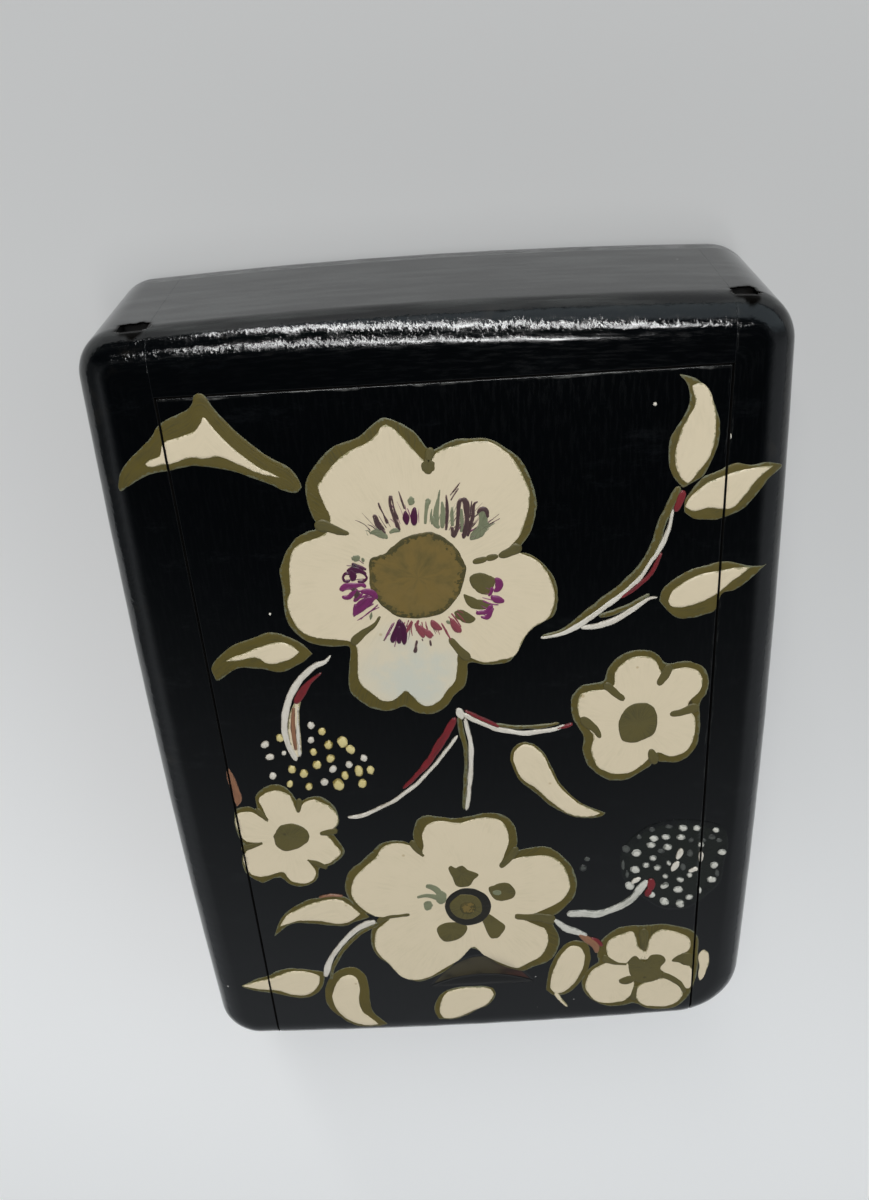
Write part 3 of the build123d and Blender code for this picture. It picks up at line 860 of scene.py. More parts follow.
def dotFilm(dots, coat):
    # Domes, all at once: an ellipse, risen by coat * sqrt(1 - share^2). dots are x, y, half width
    # and half height in pixels.
    dots = np.array([dot if len(dot) == 4 else (*dot, dot[2]) for dot in dots], float)[:, :, None, None]
    share = np.array([0.0, 1.0, 0.97, 0.85, 0.6, 0.3, 0.0])[None, :, None]
    turn = np.linspace(0, 2 * np.pi, 14, endpoint=False)[None, None, :]
    draw = np.random.default_rng(len(dots))
    lump = 1 + 0.06 * draw.normal(size=(len(dots), 1, 1)) * np.sin(2 * turn + draw.uniform(0, 6, (len(dots), 1, 1)))
    lump += 0.045 * draw.normal(size=(len(dots), 1, 14))
    pixels = np.stack([dots[:, 0] + dots[:, 2] * share * lump * np.cos(turn),
                       dots[:, 1] + dots[:, 3] * share * lump * np.sin(turn)], axis=-1)
    spots = toFace(pixels)
    x, y = spots[..., 0], spots[..., 1]
    rise = coat * np.sqrt(1 - share ** 2) - filmShape["sunk"]
    rise[:, 0] = -filmShape["bottom"]
    points = np.stack([x, y, faceHeight(x, y) + rise], axis=-1)
    quads = shellQuads(share.size, turn.size)
    each = share.size * turn.size
    quads = (quads[None] + each * np.arange(len(dots))[:, None, None]).reshape(-1, 4)
    brush = spots.reshape(-1, 2) * 3
    inset = np.broadcast_to((1 - share) * 0.5, points.shape[:3]).ravel()
    return points.reshape(-1, 3), quads, brush, inset


panels = (("", lidLeft, lidRight, "lid"), ("_left_board", -np.inf, leftFace, "case"),
          ("_right_board", rightFace, np.inf, "case"))


def layPaint(name, paint, films):
    # One mesh of all the films, cut where the lid meets the long boards.
    points, quads, brush, inset = [], [], [], []
    count = 0
    for film in films:
        points.append(film[0])
        quads.append(film[1] + count)
        brush.append(film[2])
        inset.append(film[3])
        count += len(film[0])
    points, quads, brush, inset = map(np.concatenate, (points, quads, brush, inset))
    whole = bpy.data.meshes.new(name)
    whole.from_pydata((points * mm).tolist(), [], quads.tolist())
    whole.uv_layers.new(name="brush").uv.foreach_set("vector", brush[quads.ravel()].ravel())
    whole.attributes.new("rimInset", "FLOAT", "POINT").data.foreach_set("value", inset)
    whole.polygons.foreach_set("use_smooth", np.ones(len(quads), bool))
    for suffix, low, high, body in panels:
        if points[:, 0].max() <= low or points[:, 0].min() >= high:
            continue
        shell = bmesh.new()
        shell.from_mesh(whole)
        bmesh.ops.remove_doubles(shell, verts=shell.verts, dist=0.0015 * mm)
        bmesh.ops.recalc_face_normals(shell, faces=shell.faces)
        for place, outward in ((low, -1), (high, 1)):
            if np.isfinite(place):
                everything = shell.verts[:] + shell.edges[:] + shell.faces[:]
                cut = bmesh.ops.bisect_plane(shell, geom=everything, plane_co=(place * mm, 0, 0),
                                             plane_no=(outward, 0, 0), clear_outer=True, dist=1e-7)
                rim = [piece for piece in cut["geom_cut"] if isinstance(piece, bmesh.types.BMEdge)]
                bmesh.ops.holes_fill(shell, edges=rim, sides=0)
        if shell.faces:
            part = bpy.data.meshes.new(name + suffix)
            shell.to_mesh(part)
            part.materials.append(paintMaterials[paint])
            piece = bpy.data.objects.new(name + suffix, part)
            bpy.context.scene.collection.objects.link(piece)
            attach(piece, body)
        shell.free()
    bpy.data.meshes.remove(whole)


def strokes(paths, coat, seed=0, widen=1.0):
    # each a little higher than the one before, so that crossing strokes don't lie in one plane
    return [strokeFilm(np.array(path) * (1, 1, widen), coat + 0.005 * (number % 5), seed + number)
            for number, path in enumerate(paths)]


def blobs(rims, coat, seed=0):
    return [petalFilm(rim, np.mean(rim, axis=0), coat + 0.004 * (number % 5), seed + number)
            for number, rim in enumerate(rims)]


def tuft(heart, start, finish, count, reach, width, seed):
    # fine strokes side by side from start to finish, each away from the heart by a random reach
    draw = np.random.default_rng(seed)
    start, finish = np.array(start, float), np.array(finish, float)
    place = (np.arange(count) + 0.5 + draw.uniform(-0.35, 0.35, count))[:, None] / count
    roots = start + (finish - start) * place
    away = (roots - heart) / np.linalg.norm(roots - heart, axis=1, keepdims=True)
    side = np.stack([-away[:, 1], away[:, 0]], axis=1)
    length, lean = draw.uniform(*reach, (count, 1)), draw.normal(0, 1, (2, count, 1))
    roots = roots + away * draw.uniform(0, 4, (count, 1))
    middles = roots + away * length * 0.5 + side * lean[0] * 1.2
    tips = roots + away * length + side * (lean[0] + lean[1]) * 1.5
    return [[(*root, width * wide), (*middle, 1.2 * width * wide), (*tip, 0.7 * width * wide)]
            for root, middle, tip, wide in zip(roots, middles, tips, draw.uniform(0.7, 1.3, count))]


# The flowers. Points are pixels of the photograph; strokes are (x, y, width).

bigFlower = {
    "heart": (418, 577), "grow": (-0.09, 0.12),
    "tufts": {
        # ends of the row of roots, how many, shortest and longest reach, width and seed
        "mauve": [((372, 534), (402, 528), 8, (12, 30), 1.5, 1), ((447, 532), (473, 537), 12, (18, 40), 1.6, 2),
                  ((402, 622), (436, 622), 5, (8, 24), 1.4, 3)],
        "greyGreen": [((368, 537), (386, 538), 5, (3, 9), 2.0, 4), ((426, 528), (450, 528), 8, (12, 34), 1.6, 5),
                      ((474, 538), (488, 526), 4, (6, 16), 2.0, 6)],
        "magenta": [((394, 528), (420, 526), 6, (12, 32), 1.5, 7), ((452, 534), (474, 539), 5, (8, 30), 1.4, 8),
                    ((368, 586), (382, 606), 8, (12, 30), 1.9, 9), ((392, 619), (410, 620), 6, (10, 28), 1.8, 10),
                    ((484, 586), (474, 610), 6, (10, 24), 1.6, 11)],
        "crimson": [((404, 620), (440, 618), 9, (8, 24), 1.6, 12), ((444, 616), (458, 606), 4, (8, 20), 1.7, 13)],
        "purple": [((366, 562), (369, 580), 5, (6, 22), 1.8, 14)]},
    "ground": [
        (304, 487), (308, 475), (316, 463), (327, 450), (340, 443), (357, 437), (369, 427), (382, 418),
        (398, 421), (410, 428), (420, 437), (430, 449), (445, 443), (458, 438), (475, 437), (490, 438),
        (505, 446), (518, 456), (528, 470), (537, 500), (536, 515), (532, 530), (524, 543), (517, 552),
        (528, 553), (540, 560), (550, 570), (557, 583), (559, 600), (555, 615), (545, 622), (530, 630),
        (524, 640), (512, 660), (500, 664), (485, 665), (469, 663), (468, 675), (465, 687), (455, 695),
        (448, 705), (438, 713), (427, 715), (415, 713), (404, 707), (390, 711), (380, 711), (368, 707),
        (358, 700), (350, 692), (348, 680), (349, 665), (349, 648), (335, 647), (320, 646), (303, 640),
        (292, 630), (285, 618), (281, 590), (279, 572), (282, 560), (287, 548), (295, 538), (305, 532),
        (317, 527), (311, 515), (306, 500)],
    "petals": [
        (318, 487), (322, 480), (330, 470), (338, 460), (350, 452), (365, 445), (376, 436), (383, 426),
        (392, 428), (405, 440), (415, 452), (428, 463), (437, 453), (455, 446), (475, 442), (490, 443),
        (505, 452), (515, 462), (522, 475), (528, 490), (528, 505), (525, 520), (520, 535), (510, 548),
        (522, 554), (535, 560), (546, 572), (553, 590), (553, 605), (548, 617), (535, 625), (525, 635),
        (515, 655), (500, 660), (485, 662), (470, 657), (458, 654), (457, 665), (455, 680), (447, 690),
        (440, 700), (430, 705), (420, 703), (407, 691), (400, 695), (392, 700), (382, 700), (372, 693),
        (362, 685), (358, 675), (358, 660), (355, 643), (335, 639), (315, 637), (300, 630), (290, 615),
        (288, 600), (291, 590), (290, 570), (292, 555), (300, 545), (325, 533), (330, 517), (325, 505)],
    "centre": [
        (370, 559), (378, 555), (384, 553), (392, 546), (402, 538), (415, 533), (426, 531), (438, 533),
        (448, 539), (456, 547), (462, 556), (466, 569), (464, 582), (459, 595), (449, 608), (441, 614),
        (428, 617), (409, 618), (396, 616), (385, 609), (376, 599), (371, 589), (369, 575)],
    "centrePaint": "bronze",
    "strokes": {
        "olive": [
            [(431, 447, 12), (429, 456, 8), (428, 463, 9)],
            [(314, 524, 14), (328, 527, 11), (340, 531, 8), (350, 534, 5)],
            [(522, 546, 14), (511, 551, 12), (504, 554, 10), (498, 556, 8)], [(499, 556, 5), (492, 557, 7), (485, 558, 7)],
            [(488, 558, 6), (480, 560, 8), (472, 562, 6)],
            [(471, 659, 12), (463, 653, 11), (455, 645, 9), (449, 637, 9)],
            [(351, 644, 13), (363, 633, 9), (374, 625, 6), (381, 615, 4)]],
        "greyGreen": [
            [(369, 533, 3), (377, 532, 6), (386, 538, 5)], [(375, 527, 2), (383, 534, 5), (388, 539, 3)],
            [(389, 533, 4), (395, 530, 6), (401, 531, 3)], [(412, 496, 3), (411, 501, 7), (409, 505, 4)],
            [(428, 499, 5), (426, 512, 4), (425, 525, 3)], [(432, 507, 2), (431, 516, 3), (432, 525, 3)],
            [(440, 488, 2), (438, 500, 4), (436, 513, 6), (437, 528, 5)], [(442, 500, 3), (443, 514, 5), (442, 529, 5)],
            [(433, 515, 4), (435, 523, 6), (440, 528, 4)], [(452, 505, 2), (452, 516, 4), (453, 527, 3)],
            [(461, 507, 3), (462, 520, 4), (461, 533, 3)], [(372, 611, 2), (371, 616, 4), (370, 620, 2)],
            [(353, 555, 3), (356, 558, 7), (360, 559, 5)], [(362, 557, 3), (364, 562, 4)],
            [(446, 620, 3), (449, 622, 4), (451, 621, 2)], [(383, 641, 2), (387, 636, 2), (391, 632, 2)]],
        "mauve": [
            [(373, 516, 2), (376, 523, 3), (381, 531, 3)], [(372, 518, 2), (375, 515, 3), (379, 524, 3), (386, 534, 3)],
            [(378, 501, 2), (380, 507, 3), (384, 515, 3), (388, 524, 5)],
            [(390, 494, 3), (390, 505, 3), (393, 514, 3), (397, 523, 4), (400, 531, 3)],
            [(391, 494, 3), (393, 503, 2), (395, 512, 3), (398, 520, 4)],
            [(398, 489, 1.5), (401, 498, 2.5), (405, 510, 3)], [(446, 493, 2), (447, 505, 4), (447, 518, 4), (446, 531, 3)],
            [(461, 481, 1.5), (455, 489, 2), (449, 496, 1.5)], [(459, 487, 1.5), (455, 493, 2.5), (450, 501, 1.5)],
            [(462, 497, 3), (459, 503, 4), (458, 516, 4), (457, 528, 4), (453, 538, 4)],
            [(462, 497, 5), (466, 503, 6), (467, 516, 5), (466, 528, 5), (463, 539, 4)],
            [(472, 499, 2), (471, 508, 3), (469, 519, 3)], [(479, 501, 2), (474, 504, 3), (473, 515, 4), (470, 527, 4),
                                                          (467, 537, 3)],
            [(452, 526, 3), (453, 537, 4)], [(477, 514, 2), (481, 509, 5), (486, 510, 5), (488, 518, 3)],
            [(417, 639, 2), (416, 646, 4), (415, 653, 5)], [(430, 639, 2), (431, 646, 3)], [(422, 638, 2), (423, 641, 2)],
            [(348, 587, 3), (354, 589, 5), (357, 594, 6), (357, 600, 5)]],
        "purple": [
            [(405, 510, 3), (406, 517, 6), (407, 525, 4)], [(415, 506, 3), (414, 516, 6), (414, 526, 5)],
            [(351, 563, 3), (356, 565, 4), (362, 567, 4), (367, 570, 2)],
            [(346, 571, 3), (353, 568, 4), (360, 570, 4), (367, 575, 3)],
            [(351, 580, 3), (345, 581, 3), (343, 577, 3), (346, 573, 3), (351, 574, 3)],
            [(353, 581, 3), (352, 575, 3), (357, 572, 3), (363, 573, 3), (367, 577, 3), (364, 581, 3), (357, 581, 3)],
            [(400, 618, 4), (398, 627, 6), (394, 636, 6), (392, 643, 5)],
            [(401, 620, 4), (403, 628, 6), (404, 637, 6), (404, 645, 4)], [(399, 624, 4), (399, 633, 6), (399, 644, 4)],
            [(349, 569, 4), (352, 572, 6), (353, 577, 7), (352, 581, 5)], [(354, 570, 4), (358, 570, 5), (362, 572, 4)]],
        "magenta": [
            [(339, 590, 3), (345, 586, 5), (354, 585, 5), (362, 584, 4), (366, 588, 3)],
            [(341, 596, 3), (348, 597, 4), (353, 593, 4), (358, 588, 4)], [(341, 591, 3), (347, 588, 4), (354, 588, 3)],
            [(360, 591, 4), (367, 591, 5), (373, 593, 6), (378, 599, 4)], [(353, 601, 3), (358, 598, 4), (363, 592, 3)],
            [(375, 597, 6), (366, 602, 9), (359, 608, 9), (353, 616, 4)], [(355, 603, 4), (356, 609, 6), (354, 616, 3)],
            [(495, 577, 4), (499, 582, 7), (498, 588, 6), (493, 591, 3)], [(492, 586, 4), (491, 592, 4), (488, 596, 2)],
            [(490, 596, 3), (497, 599, 7), (505, 601, 3)],
            [(475, 613, 3), (481, 612, 4), (488, 611, 4), (490, 607, 4), (494, 606, 3)],
            [(494, 607, 3), (490, 613, 5), (487, 617, 5), (480, 616, 3)]],
        "crimson": [
            [(412, 619, 2), (409, 627, 3), (405, 635, 2)], [(419, 619, 2), (416, 626, 3)], [(409, 619, 2), (406, 627, 2)],
            [(415, 622, 3), (420, 630, 5), (424, 638, 4)], [(419, 625, 3), (426, 632, 5), (432, 638, 4)],
            [(422, 629, 4), (428, 632, 5), (434, 636, 3)], [(431, 619, 3), (434, 624, 7), (438, 627, 6), (443, 629, 2)],
            [(451, 617, 4), (454, 624, 6), (458, 629, 7), (462, 632, 3)], [(374, 596, 3), (376, 599, 3)]]},
    "blobs": {
        "greyGreen": [
            oval(411, 500, 3.6, 4.2), oval(428, 501, 3.4, 4), oval(356, 558, 5, 3.5), oval(381, 535, 6, 3.5, 20),
            [(478, 510), (484, 508), (487, 513), (489, 521), (491, 525), (487, 530), (483, 536), (477, 539),
             (470, 540), (470, 534), (476, 527), (479, 518)]],
        "olive": [
            oval(428, 466, 7.5, 8),
            [(469, 577), (474, 573), (482, 572), (490, 575), (496, 579), (494, 588), (490, 594), (484, 595),
             (477, 592), (471, 586)],
            [(463, 594), (469, 595), (477, 598), (484, 600), (491, 604), (485, 609), (475, 609), (467, 605)],
            [(454, 612), (459, 609), (466, 610), (472, 614), (476, 619), (470, 623), (462, 622), (456, 618)]]},
}

midFlower = {
    "heart": (638, 722), "grow": (0.0, 0.12),
    "ground": [
        (604, 680), (608, 668), (618, 657), (632, 651), (647, 650), (658, 654), (667, 663), (685, 661),
        (697, 663), (706, 670), (709, 682), (707, 693), (700, 703), (700, 722), (699, 735), (697, 745),
        (690, 755), (678, 762), (665, 762), (655, 761), (650, 766), (640, 772), (628, 779), (615, 781),
        (603, 778), (592, 770), (585, 760), (582, 748), (583, 736), (578, 728), (573, 718), (571, 705),
        (573, 695), (582, 686), (594, 683)],
    "petals": [
        (614, 686), (615, 673), (622, 664), (634, 658), (647, 657), (656, 662), (661, 672), (672, 670),
        (686, 668), (697, 671), (702, 680), (699, 691), (690, 700), (688, 708), (694, 718), (694, 733),
        (690, 745), (682, 753), (670, 756), (658, 752), (650, 757), (641, 765), (629, 772), (616, 773),
        (604, 770), (595, 762), (591, 750), (594, 737), (588, 727), (580, 716), (578, 705), (582, 695),
        (592, 691), (604, 690)],
    "centre": [
        (618, 725), (622, 713), (632, 704), (645, 702), (654, 708), (658, 718), (655, 732), (645, 739),
        (633, 743), (622, 740)],
    "centrePaint": "oliveDab",
    "strokes": {
        "olive": [
            [(604, 683, 9), (611, 689, 9), (618, 695, 8), (625, 700, 7)], [(671, 664, 10), (664, 676, 9), (657, 685, 8)],
            [(699, 706, 12), (690, 709, 10), (680, 712, 8), (669, 714, 8)],
            [(580, 717, 9), (588, 723, 10), (595, 729, 8), (601, 738, 6)],
            [(656, 764, 11), (653, 757, 10), (650, 748, 9)]]},
}

smallFlower = {
    "heart": (289, 837), "grow": (-0.06, 0.14),
    "ground": [
        (255, 796), (262, 788), (273, 784), (284, 786), (292, 793), (299, 801), (309, 797), (320, 796),
        (331, 802), (338, 813), (339, 823), (334, 832), (340, 842), (345, 852), (337, 862), (327, 867),
        (320, 869), (318, 878), (311, 884), (300, 887), (289, 884), (281, 878), (273, 879), (263, 883),
        (253, 879), (245, 872), (242, 860), (243, 847), (237, 834), (234, 820), (236, 809), (247, 806),
        (256, 808)],
    "petals": [
        (259, 800), (264, 794), (273, 791), (282, 792), (289, 795), (293, 802), (297, 811), (304, 803),
        (314, 800), (325, 804), (334, 811), (337, 817), (335, 826), (324, 833), (327, 836), (334, 844),
        (340, 851), (338, 856), (331, 862), (323, 864), (316, 863), (308, 860), (313, 866), (316, 873),
        (313, 879), (305, 883), (295, 882), (289, 878), (284, 872), (278, 872), (269, 875), (260, 876),
        (252, 874), (247, 868), (244, 860), (246, 852), (253, 847), (262, 843), (252, 842), (245, 840),
        (239, 831), (236, 822), (238, 814), (246, 812), (254, 813), (262, 818), (268, 821), (263, 808)],
    "centre": [
        (273, 838), (275, 832), (279, 826), (287, 823), (298, 824), (307, 829), (310, 836), (307, 843),
        (298, 848), (287, 851), (278, 847)],
    "centrePaint": "oliveDab",
    "strokes": {
        "olive": [
            [(299, 798, 5), (299, 806, 6), (298, 813, 4)], [(338, 830, 6), (328, 832, 7), (319, 834, 4)],
            [(328, 868, 5), (317, 863, 5), (306, 859, 2)], [(241, 849, 7), (252, 846, 5), (264, 842, 3)],
            [(256, 808, 6), (262, 814, 5), (269, 821, 3)]]},
}

mediumFlower = {
    "heart": (467, 896), "grow": (-0.16, 0.26),
    "ground": [
        (412, 833), (414, 825), (418, 818), (426, 814), (440, 816), (455, 817), (470, 815), (485, 812),
        (500, 813), (510, 818), (516, 827), (518, 840), (518, 849), (530, 847), (545, 846), (557, 850),
        (568, 860), (575, 870), (578, 882), (576, 895), (568, 905), (560, 913), (552, 918), (555, 926),
        (560, 936), (560, 946), (555, 956), (547, 963), (535, 967), (520, 971), (500, 965), (472, 949),
        (450, 968), (435, 977), (420, 982), (408, 980), (398, 975), (388, 965), (377, 957), (371, 945),
        (370, 933), (373, 925), (378, 918), (360, 912), (350, 902), (345, 893), (344, 882), (348, 872),
        (358, 862), (370, 852), (380, 843), (392, 840), (405, 841), (413, 845)],
    "petals": [
        (424, 848), (423, 835), (430, 824), (445, 822), (460, 824), (475, 820), (490, 819), (500, 822),
        (506, 830), (508, 842), (503, 857), (500, 866), (511, 860), (525, 857), (545, 856), (558, 862),
        (566, 875), (568, 888), (560, 900), (545, 908), (530, 914), (518, 917), (535, 921), (545, 930),
        (547, 942), (540, 955), (528, 962), (515, 967), (500, 962), (485, 955), (473, 946), (460, 958),
        (445, 967), (430, 976), (415, 979), (402, 975), (392, 965), (380, 953), (376, 942), (378, 930),
        (390, 918), (375, 915), (360, 905), (353, 893), (355, 880), (365, 868), (377, 858), (385, 847),
        (398, 844), (412, 847), (419, 857)],
    "strokes": {
        "olive": [
            [(411, 840, 8), (417, 850, 6), (425, 857, 3)], [(518, 847, 9), (508, 859, 8), (499, 867, 7)],
            [(376, 922, 6), (393, 916, 4), (411, 914, 4)], [(556, 920, 12), (540, 917, 8), (525, 917, 7), (514, 916, 6)]],
        "greyGreen": [
            [(425, 885, 4), (433, 887, 5.5), (441, 894, 7)], [(416, 897, 3), (427, 895, 4), (440, 898, 6)]]},
    "blobs": {
        "greyGreen": [oval(428, 905, 5, 5), oval(441, 897, 6, 7), oval(497, 892, 5, 3)],
        "olive": [
            [(448, 868), (450, 865), (455, 867), (459, 866), (463, 865), (469, 869), (479, 874), (474, 880),
             (469, 886), (457, 886), (452, 878)],
            [(488, 888), (495, 884), (502, 882), (510, 883), (516, 891), (512, 898), (500, 901), (493, 898)],
            [(436, 929), (446, 922), (462, 922), (468, 928), (460, 938), (444, 941)],
            [(481, 915), (488, 913), (498, 919), (506, 926), (500, 936), (491, 938), (485, 928)]]},
}

cornerFlower = {
    "heart": (645, 966),
    "ground": [
        (598, 948), (601, 940), (611, 932), (621, 927), (632, 925), (643, 925), (654, 924), (666, 924),
        (678, 926), (690, 929), (697, 935), (699, 945), (698, 957), (698, 966), (696, 978), (691, 991),
        (684, 1000), (674, 1007), (660, 1009), (646, 1008), (635, 1003), (623, 1005), (608, 1006),
        (595, 1001), (586, 994), (582, 986), (583, 976), (591, 967), (598, 962), (597, 956)],
    "petalLeaves": [
        oval(645, 955, 9, 4.5),
        [(606, 950), (609, 940), (620, 934), (632, 931), (636, 937), (639, 946), (645, 953), (640, 960),
         (630, 961), (622, 965), (612, 963)],
        [(646, 951), (649, 938), (658, 930), (670, 930), (685, 935), (691, 942), (688, 950), (678, 955),
         (668, 962), (656, 960), (644, 958)],
        [(659, 968), (662, 960), (670, 958), (681, 962), (691, 967), (693, 976), (691, 986), (686, 988),
         (681, 981), (672, 976)],
        [(636, 997), (636, 989), (642, 983), (651, 980), (661, 978), (673, 979), (681, 986), (683, 994),
         (677, 1002), (664, 1006), (650, 1006), (640, 1003)],
        [(585, 986), (589, 974), (598, 966), (610, 962), (623, 961), (632, 966), (634, 977), (634, 988),
         (630, 995), (622, 1001), (608, 1003), (596, 1001), (589, 994)]],
    "boardPetal": [(700, 952), (704, 950), (708, 953), (709, 960), (707, 968), (704, 976), (700, 980), (698, 975),
                   (699, 966), (698, 957)],
    "oliveBlobs": [
        [(628, 960), (635, 955), (640, 959), (645, 961), (651, 954), (662, 954), (666, 960), (661, 967),
         (662, 974), (658, 979), (648, 982), (637, 981), (630, 975), (628, 967)],
        [(671, 960), (681, 953), (691, 953), (693, 959), (692, 965), (684, 965), (677, 962)]],
    "oliveStrokes": [
        [(643, 928, 13), (644, 938, 9), (644, 950, 8)], [(602, 956, 9), (609, 960, 7), (617, 963, 4), (628, 964, 3)],
        [(618, 981, 6), (626, 980, 9), (635, 977, 9)], [(633, 1000, 7), (634, 992, 6), (636, 985, 5)],
        [(661, 973, 7), (672, 978, 7), (681, 985, 6), (684, 993, 6)]],
}


strokeWiden = {"olive": 1.0, "greyGreen": 1.2, "mauve": 1.15, "crimson": 1.2, "magenta": 1.2, "purple": 1.15}


def paintFlower(name, flower, petalPaint, seed):
    layPaint(name + "_ground", "olive",
             [petalFilm(flower["ground"], flower["heart"], coats["ground"], seed, flower["grow"][0])])
    layPaint(name + "_petals", petalPaint,
             [petalFilm(flower["petals"], flower["heart"], coats["body"], seed + 1, flower["grow"][1])])
    if "centre" in flower:
        layPaint(name + "_centre", flower["centrePaint"],
                 [petalFilm(flower["centre"], flower["heart"], coats["bronze"], seed + 3)])
    for paint, widen in strokeWiden.items():
        fine = [path for row in flower.get("tufts", {}).get(paint, []) for path in tuft(flower["heart"], *row)]
        films = strokes(flower["strokes"].get(paint, []), coats[paint], seed + 40, widen)
        films += strokes(fine, coats[paint] - 0.02, seed + 55)
        films += blobs(flower.get("blobs", {}).get(paint, []), coats[paint], seed + 70)
        if films:
            layPaint(f"{name}_{paint}", "oliveDab" if paint == "olive" else paint, films)


paintFlower("big_flower", bigFlower, "washedCream", 100)
paintFlower("mid_flower", midFlower, "cream", 200)
paintFlower("small_flower", smallFlower, "cream", 300)
paintFlower("medium_flower", mediumFlower, "cream", 400)
print("four flowers painted")

layPaint("corner_flower_ground", "olive", [petalFilm(cornerFlower["ground"], cornerFlower["heart"],
                                                     coats["ground"], 500)])
layPaint("corner_flower_petals", "cream", blobs(cornerFlower["petalLeaves"] + [cornerFlower["boardPetal"]],
                                                coats["body"], 501))
layPaint("corner_flower_olive", "oliveDab", blobs(cornerFlower["oliveBlobs"], coats["olive"], 509)
         + strokes(cornerFlower["oliveStrokes"], coats["olive"], 510))

# the medium flower's dark eye with its yolk
eyeYolk = [(449, 907), (452, 899), (459, 894), (468, 893), (477, 896), (482, 903), (482, 911), (475, 917),
           (466, 919), (456, 916)]
layPaint("medium_flower_eye", "umber", blobs([oval(468, 906, 23.5, 19)], coats["stroke"], 520))
layPaint("medium_flower_yolk", "oliveDab", blobs([eyeYolk], coats["dab"], 521))
layPaint("medium_flower_yolk_middle", "bronze", blobs([oval(468, 907, 9, 7)], coats["dab"] + 0.03, 522))

